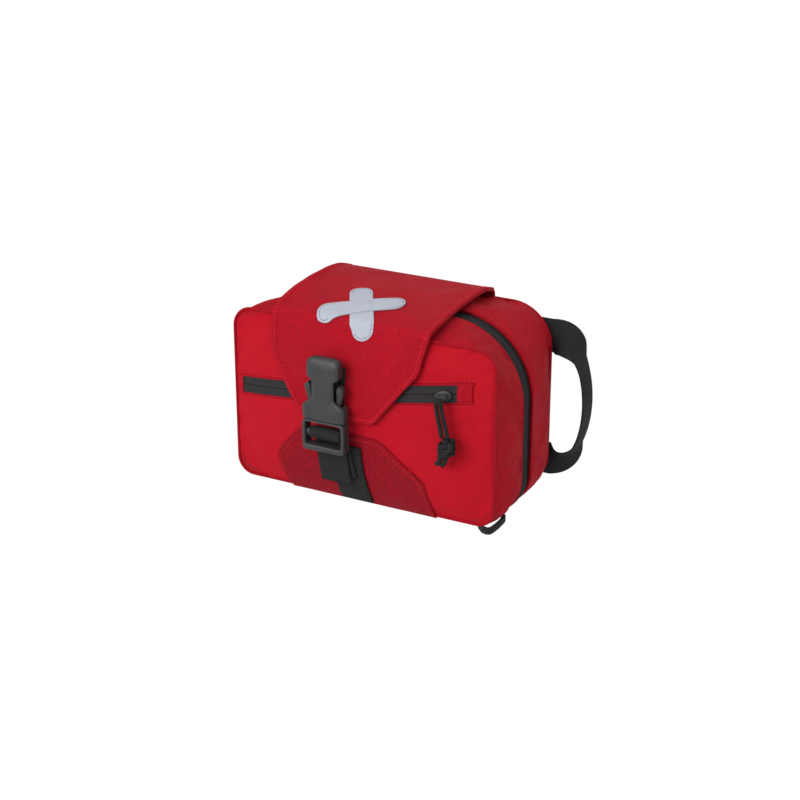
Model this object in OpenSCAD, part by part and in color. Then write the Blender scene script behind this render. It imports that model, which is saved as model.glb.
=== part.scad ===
// First aid kit: a padded clamshell bag with a buckled top flap, a zipped front
// pocket, a side carrying handle and kit contents. Millimetres, +Z up, front at -Y,
// origin at the middle of the base on the floor.

/* [Bag] */
// Width of the bag across the front seam
front_width = 203; // [201:1:205]
// Height of the front seam's top edge
front_height = 131; // [130:1:132]
// Depth of the front half, from the main zip to the front seam
front_depth = 40; // [39:1:41]
// Depth of the back half, from the main zip to the back seam
back_depth = 60; // [59:1:61]
// How far each side swells past the front seam at the main zip
side_swell = 6; // [5.5:0.5:6.5]
// How far the top swells above the front seam at the main zip
top_swell = 7.7; // [7.1:0.2:8.1]
// How far the front panel bulges at its middle
front_bulge = 12; // [11:0.5:13]
// How far the back panel bulges at its middle
back_bulge = 2; // [1:0.5:3]
// Thickness of the padded walls
wall = 4; // [3:0.5:5]

/* [Flap and wing] */
// Thickness of the top flap
flap_thick = 2.2; // [1.8:0.2:2.4]
// Air between the top flap and the front panel
flap_gap = 3; // [2.6:0.2:3.4]
// Thickness of the lower wing
wing_thick = 1.8; // [1.4:0.2:2]

/* [Webbing and buckle] */
// Width of the webbing
webbing_width = 25; // [24:1:25]
// Thickness of the webbing
webbing_thick = 1.6; // [1.2:0.2:1.8]
// Width of the side-release buckle
buckle_width = 33; // [33:1:34]
// Thickness of the side-release buckle
buckle_thick = 10; // [10:0.5:11]

/* [Zips] */
// Width of the half tape of the main zip on each side of the teeth
tape_half = 7; // [6:0.5:7]
// Height of the pocket zip's tape
pocket_tape_height = 12; // [10:1:12]

/* [Side handle] */
// How far the side handle's belly stands out from the middle of the bag
handle_reach = 125; // [122:1:127]

/* [Hidden] */
$fn = 48;

red = "#B80F22";
dark_red = "#93101F";
black = "#2B2C2D";
grey = "#4A4B4D";
patch_grey = "#C5CAD1";
white = "#E9E6DD";

arc_steps = 7;
base_lift = 5;
zip_recess = 2.2;
tape_thick = 1.4;
tape_top = front_height + top_swell - zip_recess;
middle_z = (front_height + base_lift) / 2;
half_height = (front_height - base_lift) / 2;
half_front = front_width / 2;
half_middle = half_front + side_swell;
arch_high_r = 57;
arch_low_r = 28;
clearance = 0.3;
function seam_depth(side) = side < 0 ? front_depth : back_depth;

// ---- The bag's outline -------------------------------------------------------

// One quarter round, as [x, z] points turning anticlockwise from angle a.
function corner(x, z, r, a) =
    [for (i = [0:arc_steps]) [x + r * cos(a + 90 * i / arc_steps),
                              z + r * sin(a + 90 * i / arc_steps)]];

// A rounded rectangle about x = 0 with its own top and bottom corner radii.
function outline(w, low, high, r_high, r_low) = concat(
    corner(w - r_low, low + r_low, r_low, -90),
    corner(w - r_high, high - r_high, r_high, 0),
    corner(r_high - w, high - r_high, r_high, 90),
    corner(r_low - w, low + r_low, r_low, 180));

// Sections of the bag: q runs from 0 at the main zip to 1 at the front or back seam.
function side_w(q, side) = half_middle - (side < 0 ? side_swell : side_swell + 4.5) * q * q;
function top_z(q, side) = front_height + top_swell * (1 - q * q) + (side < 0 ? 0 : q * q);
function low_z(q) = base_lift * pow(max(0, (q - 0.6) / 0.4), 2);
function high_r(q, side) = arch_high_r - (side < 0 ? 43 : 27) * q * q;
function low_r(q) = arch_low_r - 16 * q * q;
function section(q, side, inset) = outline(
    side_w(q, side) - inset, low_z(q) + inset, top_z(q, side) - inset,
    high_r(q, side) - inset, low_r(q) - inset);

// How far a panel stands out at [x, z], as a share of its bulge.
function swell(x, z) =
    (1 - pow(min(1, abs(x) / half_front), 3)) *
    (1 - pow(min(1, abs(z - middle_z) / half_height), 3));
function front_y(x, z) = -front_depth - front_bulge * swell(x, z);
function back_y(x, z) = back_depth + back_bulge * swell(x, z);
function panel_y(x, z, side) = side < 0 ? front_y(x, z) : back_y(x, z);

// ---- Building blocks ---------------------------------------------------------

function flat(lists) = [for (l = lists) for (p = l) p];
function tri(a, b, c, flip) = flip ? [a, c, b] : [a, b, c];

// Triangles between two rings of n points that start at indices a and b.
function band(a, b, n, flip) = flat([for (i = [0:n - 1]) let (j = (i + 1) % n) [
    tri(a + i, a + j, b + j, flip), tri(a + i, b + j, b + i, flip)]]);

// A half of the clamshell: a tray whose outer and inner faces are lofted rings.
module half_shell(side) {
    depth = seam_depth(side);
    stations = [(tape_half + clearance) / depth, 0.4, 0.62, 0.8, 0.92, 1];
    scales = [0.94, 0.84, 0.68, 0.45, 0.2];
    seam_out = section(1, side, 0);
    seam_in = section(1, side, wall);
    outer = concat(
        [for (q = stations) [for (p = section(q, side, 0))
            [p[0], side * q * depth, p[1]]]],
        [for (s = scales) [for (p = seam_out)
            let (x = p[0] * s, z = middle_z + (p[1] - middle_z) * s)
            [x, panel_y(x, z, side), z]]]);
    inner = concat(
        [for (q = stations) [for (p = section(q, side, wall))
            [p[0], side * min(q * depth, depth - wall), p[1]]]],
        [for (s = scales) [for (p = seam_in)
            let (x = p[0] * s, z = middle_z + (p[1] - middle_z) * s)
            [x, panel_y(x, z, side) - side * wall, z]]]);
    n = len(seam_out);
    k = len(outer);
    flip = side > 0;
    points = concat(flat(outer), [[0, panel_y(0, middle_z, side), middle_z]],
                    flat(inner), [[0, panel_y(0, middle_z, side) - side * wall, middle_z]]);
    second = n * k + 1;
    fan = function(centre, ring, turned)
        [for (i = [0:n - 1]) tri(ring + i, ring + (i + 1) % n, centre, turned)];
    polyhedron(points = points, faces = concat(
        flat([for (r = [0:k - 2]) band(r * n, (r + 1) * n, n, flip)]),
        fan(n * k, (k - 1) * n, flip),
        flat([for (r = [0:k - 2]) band(second + r * n, second + (r + 1) * n, n, !flip)]),
        fan(second + n * k, second + (k - 1) * n, !flip),
        band(0, second, n, !flip)));
}

// A sheet between two grids of points, each a list of rows, the first one nearer the bag.
module sheet(under, over) {
    rows = len(under);
    cols = len(under[0]);
    m = rows * cols;
    at = function(r, c, top) r * cols + c + (top ? m : 0);
    face = function(top) flat([for (r = [0:rows - 2]) for (c = [0:cols - 2]) [
        tri(at(r, c, top), at(r, c + 1, top), at(r + 1, c + 1, top), top),
        tri(at(r, c, top), at(r + 1, c + 1, top), at(r + 1, c, top), top)]]);
    side_faces = function(r, turned) flat([for (c = [0:cols - 2]) [
        tri(at(r, c, false), at(r, c + 1, false), at(r, c + 1, true), turned),
        tri(at(r, c, false), at(r, c + 1, true), at(r, c, true), turned)]]);
    end_faces = function(c, turned) flat([for (r = [0:rows - 2]) [
        tri(at(r, c, false), at(r + 1, c, false), at(r + 1, c, true), turned),
        tri(at(r, c, false), at(r + 1, c, true), at(r, c, true), turned)]]);
    polyhedron(points = concat(flat(under), flat(over)), faces = concat(
        face(false), face(true),
        side_faces(0, true), side_faces(rows - 1, false),
        end_faces(0, false), end_faces(cols - 1, true)));
}

// A sheet that follows the front panel. Each row is [z, left x, right x, gap under it].
module panel_sheet(rows, thick, cols = 9) {
    spread = function(r, c) r[1] + (r[2] - r[1]) * c / (cols - 1);
    sheet(
        [for (r = rows) [for (c = [0:cols - 1]) let (x = spread(r, c))
            [x, front_y(x, r[0]) - r[3], r[0]]]],
        [for (r = rows) [for (c = [0:cols - 1]) let (x = spread(r, c))
            [x, front_y(x, r[0]) - r[3] - thick, r[0]]]]);
}

// Unit normal of a [y, z] path at point i, to the left of its direction.
function path_normal(path, i) =
    let (a = path[max(0, i - 1)], b = path[min(len(path) - 1, i + 1)],
         d = b - a, l = norm(d)) [-d[1] / l, d[0] / l];

// A strap that lies along a [y, z] path, with its width along X.
module strap(path, thick, width, x) {
    side = function(s) [for (i = [0:len(path) - 1]) path[i] + s * thick / 2 * path_normal(path, i)];
    right = side(-1);
    translate([x - width / 2, 0, 0]) rotate([90, 0, 90]) linear_extrude(width)
        polygon(concat(side(1), [for (i = [len(right) - 1:-1:0]) right[i]]));
}

// A box with round upright edges, seen along Y.
module rounded_box(size, r) {
    translate([0, size[1] / 2, 0]) rotate([90, 0, 0]) linear_extrude(size[1])
        hull() for (x = [-1, 1], z = [-1, 1])
            translate([x * (size[0] / 2 - r), z * (size[2] / 2 - r)]) circle(r, $fn = 32);
}

// ---- Back half ---------------------------------------------------------------

module back_shell() {
    color(red) half_shell(1);
}

// The tape's arch over both sides and the top, from y0 to y1.
module zip_arch(y0, y1) {
    foot = 5;
    r_high = arch_high_r - zip_recess;
    r_low = arch_low_r - zip_recess;
    outer = outline(half_middle - zip_recess, -zip_recess, tape_top, r_high, r_low);
    inner = outline(half_middle - zip_recess - tape_thick, tape_thick - zip_recess,
                    tape_top - tape_thick, r_high - tape_thick, r_low - tape_thick);
    translate([0, y1, 0]) rotate([90, 0, 0]) linear_extrude(y1 - y0) difference() {
        polygon(outer);
        polygon(inner);
        translate([-150, -50]) square([300, 50 + foot]);
    }
}

module back_zip_tape() {
    color(black) zip_arch(clearance / 2, tape_half);
}

fold_r = 2;
fold_half = 78;
fold_strip_y = 1.2;
module hinge_gusset() {
    color(dark_red) {
        translate([-fold_half, 0, fold_r]) rotate([0, 90, 0]) cylinder(r = fold_r, h = 2 * fold_half);
        translate([-fold_half, -fold_strip_y, 0]) cube([2 * fold_half, tape_half + fold_strip_y, fold_r]);
    }
}

flap_axis_y = back_depth + 1.6;
flap_axis_z = front_height + 4.6;
flap_roll_r = 1.3;
flap_left = -66;
flap_right = 55;
module flap_hinge_tape() {
    width = flap_right - flap_left - 6;
    x0 = flap_left + 3;
    color(dark_red) {
        translate([x0, flap_axis_y, flap_axis_z]) rotate([0, 90, 0]) cylinder(r = flap_roll_r, h = width);
        translate([x0, flap_axis_y - 0.5, flap_axis_z - 16]) cube([width, 1, 16]);
    }
}

// A belt loop on the back panel: a webbing strip that stands off between two sewn ends.
loop_low = 24;
loop_high = 112;
module belt_loop(x) {
    y = function(z) back_y(x, z) + webbing_thick / 2 + 0.9;
    gap = 7;
    path = [[y(loop_low), loop_low], [y(34), 34], [y(46) + gap, 46], [y(90) + gap, 90],
            [y(102), 102], [y(loop_high), loop_high]];
    color(black) strap(path, webbing_thick, webbing_width, x);
}
module rear_belt_loop_left() { belt_loop(-45); }
module rear_belt_loop_right() { belt_loop(45); }

handle_z_high = 110;
handle_z_low = 16;
handle_root_x = 97;
handle_y = back_depth + back_bulge + 1.2;
module handle_anchor(z) {
    color(black) translate([handle_root_x - 14.5, handle_y, z])
        cube([28, webbing_thick, webbing_width], center = true);
}
module handle_anchor_upper() { handle_anchor(handle_z_high); }
module handle_anchor_lower() { handle_anchor(handle_z_low); }

// ---- Kit contents in the back half -------------------------------------------

store_y = 32;
module organiser_band() {
    y1 = back_depth - wall - 0.6;
    color(black) translate([-82, y1 - 2, 50]) cube([164, 2, 24]);
}
module roll(r, length, core) {
    difference() {
        cylinder(r = r, h = length, center = true);
        translate([0, 0, length / 2 - 2]) cylinder(r = core, h = 4);
    }
}
module bandage_roll_large() {
    color(white) translate([-50, store_y, 30]) rotate([0, 90, 0]) roll(18, 78, 4);
}
module bandage_roll_left() {
    color(white) translate([-70, store_y + 1, 84]) roll(15, 60, 3.5);
}
module bandage_roll_right() {
    color(white) translate([-36, store_y + 1, 84]) roll(15, 60, 3.5);
}
module tape_roll() {
    color(white) translate([70, store_y, 32]) rotate([90, 0, 0]) difference() {
        cylinder(r = 22, h = 24, center = true);
        cylinder(r = 8.5, h = 30, center = true);
    }
}
module tweezers() {
    y = back_depth - wall - 8;
    color("silver") translate([0, y, 0]) {
        hull() {
            translate([-2, 0, 104]) rotate([90, 0, 0]) cylinder(r = 3.4, h = 3, center = true, $fn = 32);
            translate([-2, 0, 66]) rotate([90, 0, 0]) cylinder(r = 4.2, h = 4, center = true, $fn = 32);
        }
        hull() {
            translate([-2, 0, 66]) rotate([90, 0, 0]) cylinder(r = 4.2, h = 4, center = true, $fn = 32);
            translate([-2, 0, 34]) rotate([90, 0, 0]) cylinder(r = 0.9, h = 3, center = true, $fn = 32);
        }
    }
}
// ---- Front half --------------------------------------------------------------

module front_shell() {
    color(red) half_shell(-1);
}

module front_zip_tape() {
    color(black) {
        zip_arch(-tape_half, -clearance / 2);
        translate([-fold_half, -tape_half, 0.6]) cube([2 * fold_half, tape_half - fold_r - 0.5, 1.4]);
    }
}

// The pocket zip climbs to the right across the front panel.
pocket_x0 = -95;
pocket_x1 = 77;
pocket_z0 = 75;
pocket_z1 = 100.5;
function pocket_z(x) = pocket_z0 + (pocket_z1 - pocket_z0) * (x - pocket_x0) / (pocket_x1 - pocket_x0);
pocket_tape_gap = clearance;
pocket_tape_thick = 1;
module pocket_strip(x0, x1, low, high, gap, thick, cols) {
    grid = function(off) [for (h = [low, high]) [for (c = [0:cols])
        let (x = x0 + (x1 - x0) * c / cols, z = pocket_z(x) + h)
        [x, front_y(x, z) - off, z]]];
    sheet(grid(gap), grid(gap + thick));
}
module pocket_zip_tape() {
    h = pocket_tape_height / 2;
    color(black) pocket_strip(pocket_x0, pocket_x1, -h, h, pocket_tape_gap, pocket_tape_thick, 24);
}
module pocket_zip_stop() {
    h = pocket_tape_height / 2 + 1;
    color(dark_red) pocket_strip(pocket_x1 + 0.4, pocket_x1 + 8, -h, h, clearance, 1.6, 3);
}

wing_gap = clearance;
module lower_wing() {
    rows = [[6, -57, 59, wing_gap], [14, -59, 57.5, wing_gap], [24, -62, 55.5, wing_gap],
            [31, -62.5, 54, wing_gap], [38, -58, 47, wing_gap], [48, -49, 34, wing_gap],
            [56, -42, 24, wing_gap], [58.5, -38, 18, wing_gap]];
    color(dark_red) panel_sheet(rows, wing_thick, 11);
}

buckle_x = -14;
strap_x = -2;
module lower_strap() {
    over_wing = wing_gap + wing_thick + clearance;
    y = function(z) front_y(strap_x, z) - over_wing - webbing_thick / 2;
    path = [[y(7), 7], [y(14), 14], [y(22), 22], [y(32), 32], [y(42), 42], [y(50), 50]];
    color(black) strap(path, webbing_thick, webbing_width, strap_x);
}

module base_lash_loop() {
    color(black) translate([0, 0, 0.3]) linear_extrude(2.6)
        polygon([[91.5, -39.5], [98.5, -42], [99.8, -40], [99.8, -17], [99, -15.5], [98.4, -19], [95.5, -32]]);
}

inner_face = front_depth - wall;
module inner_pocket() {
    color(black) difference() {
        translate([-84, -inner_face + 1.2, 12]) cube([168, 11, 66]);
        translate([-82, -inner_face + 2.6, 14]) cube([164, 8.2, 70]);
    }
}
pocket_fill_y = 6.7 - inner_face;
module gauze_pack() {
    color(white) translate([-40, pocket_fill_y, 58]) rounded_box([76, 7.2, 84], 2);
}
module plaster_packet() {
    color("tan") translate([42, pocket_fill_y, 52]) rounded_box([70, 7.2, 74], 2);
}
module foil_blanket_pack() {
    color("gold") translate([0, -12.5, 42]) rounded_box([92, 17, 62], 6);
}

// ---- Top flap and buckle -----------------------------------------------------

// Underside of the flap, from its hinge over the top to the front: [y, z, left x, right x].
flap_top_rows = [
    [back_depth - 2.4, flap_axis_z + 1.5, flap_left, flap_right - 2],
    [50, 139.8, flap_left, flap_right - 1], [38, 142.6, flap_left, flap_right],
    [18, 143.4, flap_left, flap_right + 1], [-2, 142.8, flap_left - 0.5, flap_right + 1.5],
    [-20, 140.9, flap_left - 1, flap_right + 1.5], [-34, 138.2, flap_left - 1, flap_right + 1],
    [-42, 135.4, flap_left - 1, flap_right]];
flap_front_rows = [
    [131, flap_left - 0.5, flap_right - 0.5, flap_gap + 1.2], [121, -65, 52.5, flap_gap + 0.6],
    [110, -63.5, 50, flap_gap], [98, -57, 40.5, flap_gap], [86, -50, 31, flap_gap],
    [76, -44, 23, flap_gap], [72, -41, 19.5, flap_gap], [70, -38, 16, flap_gap]];

// A point on the flap's underside (thick = 0) or outer side, in column c of cols.
function flap_top_point(i, c, cols, thick) =
    let (r = flap_top_rows[i], a = flap_top_rows[max(0, i - 1)],
         b = i + 1 < len(flap_top_rows) ? flap_top_rows[i + 1] : [-46, 130],
         d = [b[0] - a[0], b[1] - a[1]], l = norm(d))
    [r[2] + (r[3] - r[2]) * c / cols, r[0] + thick * d[1] / l, r[1] - thick * d[0] / l];
function flap_front_point(i, c, cols, thick) =
    let (r = flap_front_rows[i], x = r[1] + (r[2] - r[1]) * c / cols)
    [x, front_y(x, r[0]) - r[3] - thick, r[0]];
function flap_grid(cols, thick) = concat(
    [for (i = [len(flap_front_rows) - 1:-1:0]) [for (c = [0:cols]) flap_front_point(i, c, cols, thick)]],
    [for (i = [len(flap_top_rows) - 1:-1:0]) [for (c = [0:cols]) flap_top_point(i, c, cols, thick)]]);

module top_flap() {
    cols = 12;
    color(red) sheet(flap_grid(cols, 0), flap_grid(cols, flap_thick));
}

// The emblem lies over the flap's front top edge: rows of [y, z] on the flap's outer face.
emblem_x = -6;
emblem_half = 26;
module flap_emblem() {
    lift = flap_thick + clearance;
    x0 = emblem_x - emblem_half;
    point = function(i, c, t) let (p = flap_top_point(i, 0, 8, t)) [x0 + 2 * emblem_half * c / 8, p[1], p[2]];
    front = function(z, c, t) let (x = x0 + 2 * emblem_half * c / 8)
        [x, front_y(x, z) - flap_gap - 0.7 - t, z];
    grid = function(t) concat(
        [for (z = [123, 128]) [for (c = [0:8]) front(z, c, t + 0.4)]],
        [for (i = [7, 6, 5, 4]) [for (c = [0:8]) point(i, c, t)]]);
    color(patch_grey) sheet(grid(lift), grid(lift + 0.9));
}

socket_back = front_y(buckle_x, middle_z) - flap_gap - flap_thick - webbing_thick - 1.1;
socket_front = socket_back - buckle_thick;
socket_low = 71;
socket_high = 116;
buckle_mid_y = (socket_back + socket_front) / 2;

module socket_tab() {
    y = function(z) front_y(buckle_x, z) - flap_gap - flap_thick - webbing_thick / 2 - clearance;
    path = [[y(82), 82], [y(92), 92], [y(102), 102], [y(108), 108]];
    color(black) strap(path, webbing_thick, webbing_width - 2, buckle_x);
}

// Shapes of the buckle, drawn in the XZ plane about its middle line.
module buckle_slab(y0, y1) {
    translate([buckle_x, y1, 0]) rotate([90, 0, 0]) linear_extrude(y1 - y0) children();
}
mouth_wall = 2;
side_wall = 2.6;
waist = 7.7;
shoulder = 3.8;
top_round = 5;
function ease(t) = let (c = min(1, max(0, t))) c * c * (3 - 2 * c);
// Half width of the socket's plates at height z: wide at the mouth, waisted at the
// side windows, and wider again at the shoulders.
function socket_half(z) = buckle_width / 2 - waist * ease((z - socket_low - 9) / 8)
    + shoulder * ease((z - socket_low - 28) / 4);
module socket_outline() {
    high = socket_high - top_round;
    w = socket_half(high) - top_round;
    right = concat([for (z = [socket_low:1:high]) [socket_half(z), z]],
                   [for (a = [15:15:90]) [w + top_round * cos(a), high + top_round * sin(a)]]);
    left = [for (i = [len(right) - 1:-1:0]) [-right[i][0], right[i][1]]];
    polygon(concat(right, left));
}
// Two plates with side windows between them, joined by a webbing bar above and a mouth below.
module buckle_socket() {
    channel = buckle_width - 2 * side_wall;
    color(grey) difference() {
        buckle_slab(socket_front, socket_back) difference() {
            socket_outline();
            translate([-8.5, socket_high - 7]) square([17, 3.6]);
        }
        buckle_slab(socket_front + mouth_wall, socket_back - mouth_wall)
            translate([-channel / 2, socket_low - 1]) square([channel, 33]);
    }
}

plug_high = socket_low - 0.4;
plug_low = 48;
plug_bar = 2.6;
strap_bar_r = 2.8;
strap_bar_z = 60.5;
module plug_outline() {
    w = buckle_width / 2;
    r = 3;
    polygon(concat([[w, plug_high], [-w, plug_high]],
                   [for (a = [180:15:270]) [r - w + r * cos(a), plug_low + r + r * sin(a)]],
                   [for (a = [270:15:360]) [w - r + r * cos(a), plug_low + r + r * sin(a)]]));
}
// The plug: a frame for the webbing with a round middle bar, and a guide tongue above.
module buckle_plug() {
    w = buckle_width / 2;
    color(grey) {
        buckle_slab(socket_front + 0.6, socket_back - 0.6) difference() {
            plug_outline();
            translate([plug_bar - w, plug_low + 4.2]) square([2 * (w - plug_bar), plug_high - plug_low - 6.2]);
        }
        translate([buckle_x - w + plug_bar - 0.5, buckle_mid_y, strap_bar_z]) rotate([0, 90, 0])
            cylinder(r = strap_bar_r, h = 2 * (w - plug_bar) + 1);
        buckle_slab(buckle_mid_y - 1.6, buckle_mid_y + 1.6) translate([-3, plug_high - 1]) square([6, 25]);
    }
}

// A prong turns about its round root and its barb reaches into the socket's side window.
prong_r = 1.5;
prong_root_x = 8.4;
prong_root_z = plug_high + prong_r + 0.2;
module prong(side) {
    z = prong_root_z;
    buckle_slab(buckle_mid_y - 2, buckle_mid_y + 2) scale([side, 1]) {
        translate([prong_root_x, z]) circle(prong_r);
        polygon([[7.2, z], [9.8, z], [12.2, z + 9], [13, z + 13], [14, z + 17], [15.1, z + 21],
                 [15.1, z + 23], [12, z + 25], [9.8, z + 23], [9.2, z + 13]]);
    }
}
module buckle_prong_left() { color(grey) prong(-1); }
module buckle_prong_right() { color(grey) prong(1); }

// The strap's end comes over the plug's middle bar and hangs behind its lower bar.
wrap_r = strap_bar_r + webbing_thick / 2 + clearance;
tail_y = socket_back + 1.3;
tail_low = 22;
module strap_tail() {
    around = [for (a = [270:-30:60]) [buckle_mid_y + wrap_r * cos(a), strap_bar_z + wrap_r * sin(a)]];
    path = concat([[tail_y + 2, tail_low], [tail_y + 0.6, 34], [tail_y, 46], [tail_y - 0.6, 52.4],
                   [tail_y - 2.4, 55.6]], around);
    color(black) strap(path, webbing_thick, webbing_width - 1, buckle_x + 1);
}

// ---- Zip sliders -------------------------------------------------------------

pocket_slider_x = 68;
slide_start = [pocket_slider_x, front_y(pocket_slider_x, pocket_z(pocket_slider_x)), pocket_z(pocket_slider_x)];
pocket_slope = atan2(pocket_z1 - pocket_z0, pocket_x1 - pocket_x0);
pocket_turn = 11;
slider_gap = pocket_tape_gap + pocket_tape_thick + 1.2;
module pocket_slider() {
    color(grey) translate(slide_start) rotate([0, -pocket_slope, 0]) rotate([0, 0, pocket_turn])
        translate([0, -slider_gap, 0]) {
            rotate([90, 0, 0]) linear_extrude(2.4) hull() {
                translate([-4, 0]) circle(3.2, $fn = 32);
                translate([3.4, 0]) circle(4, $fn = 32);
            }
            translate([0, -5.4, 0]) cube([5, 2, 3], center = true);
            for (x = [-2.4, 2.4]) translate([x, -3.6, 0]) cube([1.4, 4, 3], center = true);
        }
}

// The puller: two strands of one cord, hung from the slider's bridge, and their knot.
cord_r = 1.5;
cord_sides = 8;
pull_x = slide_start[0] + 1;
pull_y = slide_start[1] - slider_gap - 8.5;
pull_top = slide_start[2] - 1;
cord_points = [
    [2.2, 0.6, -26], [1.2, 0.4, -20], [-0.6, 0.2, -12], [-1.6, 0, -6], [-1.8, 0, -3],
    [-0.9, 0, -0.6], [0.9, 0, -0.6], [1.8, 0, -3], [2.2, 0, -6], [3.4, 0.2, -12],
    [5.4, 0.4, -20], [6.6, 0.6, -26]];
function unit(v) = v / norm(v);
// One ring of the cord at point i: a regular polygon across the route.
function cord_ring(points, i) =
    let (d = unit(points[min(len(points) - 1, i + 1)] - points[max(0, i - 1)]),
         u = unit(cross(d, [0, 1, 0])), v = cross(d, u))
    [for (k = [0:cord_sides - 1]) points[i] + cord_r * (cos(360 * k / cord_sides) * u
                                                        + sin(360 * k / cord_sides) * v)];
module cord_tube(points) {
    n = cord_sides;
    last = (len(points) - 1) * n;
    polyhedron(points = flat([for (i = [0:len(points) - 1]) cord_ring(points, i)]), faces = concat(
        flat([for (i = [0:len(points) - 2]) band(i * n, (i + 1) * n, n, true)]),
        [[for (k = [0:n - 1]) k]], [[for (k = [n - 1:-1:0]) last + k]]));
}
module puller_cord() {
    color(black) translate([pull_x, pull_y, pull_top]) cord_tube(cord_points);
}
module puller_knot() {
    color(black) translate([pull_x + 6.2, pull_y + 0.6, pull_top - 33]) {
        scale([1, 0.8, 1]) sphere(r = 6.9);
        translate([-5, 0, -12.5]) rotate([0, 20, 0]) cylinder(r = 2.2, h = 9);
        translate([1, 0, -13]) cylinder(r = 2.2, h = 9);
    }
}

main_slider_gap = 0.5;
main_slider_half = 6.2;
module main_slider(side) {
    z = tape_top + clearance;
    translate([side * (main_slider_half + main_slider_gap), 0, z]) {
        linear_extrude(2.2) hull() {
            translate([-side * 3, 0]) circle(3.2, $fn = 32);
            translate([side * 2.6, 0]) circle(3.6, $fn = 32);
        }
        translate([0, 0, 2.6]) cube([4.4, 2, 1.2], center = true);
    }
}
module main_tab(side) {
    z = tape_top + clearance + 2.4;
    x0 = side * (main_slider_half + main_slider_gap) + side * 3.2;
    translate([x0, 0, z]) linear_extrude(1) difference() {
        hull() {
            translate([0, -2.6]) square([0.5, 5.2]);
            translate([side * 19, 0]) circle(3.6, $fn = 32);
        }
        translate([side * 19, 0]) circle(1.4, $fn = 32);
    }
}
module main_slider_left() { color(grey) main_slider(-1); }
module main_tab_left() { color(grey) main_tab(-1); }
module main_slider_right() { color(grey) main_slider(1); }
module main_tab_right() { color(grey) main_tab(1); }

// ---- Side handle -------------------------------------------------------------

// Middle line of the handle, [x, z], and its twist: 0 lies flat to the back, 90 faces out.
handle_steps = 20;
handle_mid_z = (handle_z_high + handle_z_low) / 2;
handle_half = (handle_z_high - handle_z_low) / 2;
function handle_line(t) =
    let (a = 180 * t, reach = handle_reach - handle_root_x)
    [handle_root_x + reach * pow(sin(a), 0.8), handle_mid_z + handle_half * cos(a)];
function handle_twist(t) = 90 * min(1, 1.4 * sin(180 * t));
function handle_ring(t) =
    let (p = handle_line(t), a = handle_line(max(0, t - 0.002)), b = handle_line(min(1, t + 0.002)),
         d = unit([b[0] - a[0], b[1] - a[1]]), n = [d[1], 0, -d[0]], y = [0, 1, 0],
         w = cos(handle_twist(t)) * n * -1 + sin(handle_twist(t)) * y,
         e = sin(handle_twist(t)) * n + cos(handle_twist(t)) * y,
         c = [p[0], handle_y, p[1]], hw = webbing_width / 2, ht = webbing_thick / 2)
    [c + hw * w + ht * e, c - hw * w + ht * e, c - hw * w - ht * e, c + hw * w - ht * e];
module side_handle() {
    rings = [for (i = [0:handle_steps]) handle_ring(0.5 - 0.498 * cos(180 * i / handle_steps))];
    last = 4 * handle_steps;
    color(black) polyhedron(points = flat(rings), faces = concat(
        flat([for (i = [0:handle_steps - 1]) band(4 * i, 4 * i + 4, 4, false)]),
        [[3, 2, 1], [3, 1, 0]], [[last, last + 1, last + 2], [last, last + 2, last + 3]]));
}

back_shell();
back_zip_tape();
hinge_gusset();
flap_hinge_tape();
rear_belt_loop_left();
rear_belt_loop_right();
handle_anchor_upper();
handle_anchor_lower();
organiser_band();
bandage_roll_large();
bandage_roll_left();
bandage_roll_right();
tape_roll();
tweezers();
front_shell();
front_zip_tape();
pocket_zip_tape();
pocket_zip_stop();
lower_wing();
lower_strap();
base_lash_loop();
inner_pocket();
gauze_pack();
plaster_packet();
foil_blanket_pack();
top_flap();
flap_emblem();
socket_tab();
buckle_socket();
buckle_plug();
strap_tail();
buckle_prong_left();
buckle_prong_right();
pocket_slider();
puller_cord();
puller_knot();
main_slider_left();
main_tab_left();
main_slider_right();
main_tab_right();
side_handle();
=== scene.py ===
import bmesh
import bpy
import numpy as np
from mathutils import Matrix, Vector


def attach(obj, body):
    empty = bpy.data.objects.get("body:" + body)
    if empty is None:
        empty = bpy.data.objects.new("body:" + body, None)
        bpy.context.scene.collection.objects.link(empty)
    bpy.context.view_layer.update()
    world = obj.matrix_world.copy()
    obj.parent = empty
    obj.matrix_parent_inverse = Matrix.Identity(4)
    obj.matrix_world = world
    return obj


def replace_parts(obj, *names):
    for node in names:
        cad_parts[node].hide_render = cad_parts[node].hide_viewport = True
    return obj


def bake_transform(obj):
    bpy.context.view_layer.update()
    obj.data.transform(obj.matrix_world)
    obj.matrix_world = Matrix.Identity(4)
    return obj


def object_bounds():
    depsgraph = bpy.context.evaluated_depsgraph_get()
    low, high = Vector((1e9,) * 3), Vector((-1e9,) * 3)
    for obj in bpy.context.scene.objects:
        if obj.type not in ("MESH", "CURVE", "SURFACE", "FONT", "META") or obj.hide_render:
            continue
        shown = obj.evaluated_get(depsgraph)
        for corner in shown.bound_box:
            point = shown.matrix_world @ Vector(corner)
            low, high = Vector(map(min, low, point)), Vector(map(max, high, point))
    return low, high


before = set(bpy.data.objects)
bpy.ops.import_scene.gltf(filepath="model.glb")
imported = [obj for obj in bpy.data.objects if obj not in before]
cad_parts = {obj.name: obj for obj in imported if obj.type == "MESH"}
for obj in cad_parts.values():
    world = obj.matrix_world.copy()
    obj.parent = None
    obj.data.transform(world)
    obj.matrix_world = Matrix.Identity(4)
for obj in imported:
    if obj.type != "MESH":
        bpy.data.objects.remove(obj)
cad_box = [list(corner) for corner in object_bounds()]
MM = 0.001

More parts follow.
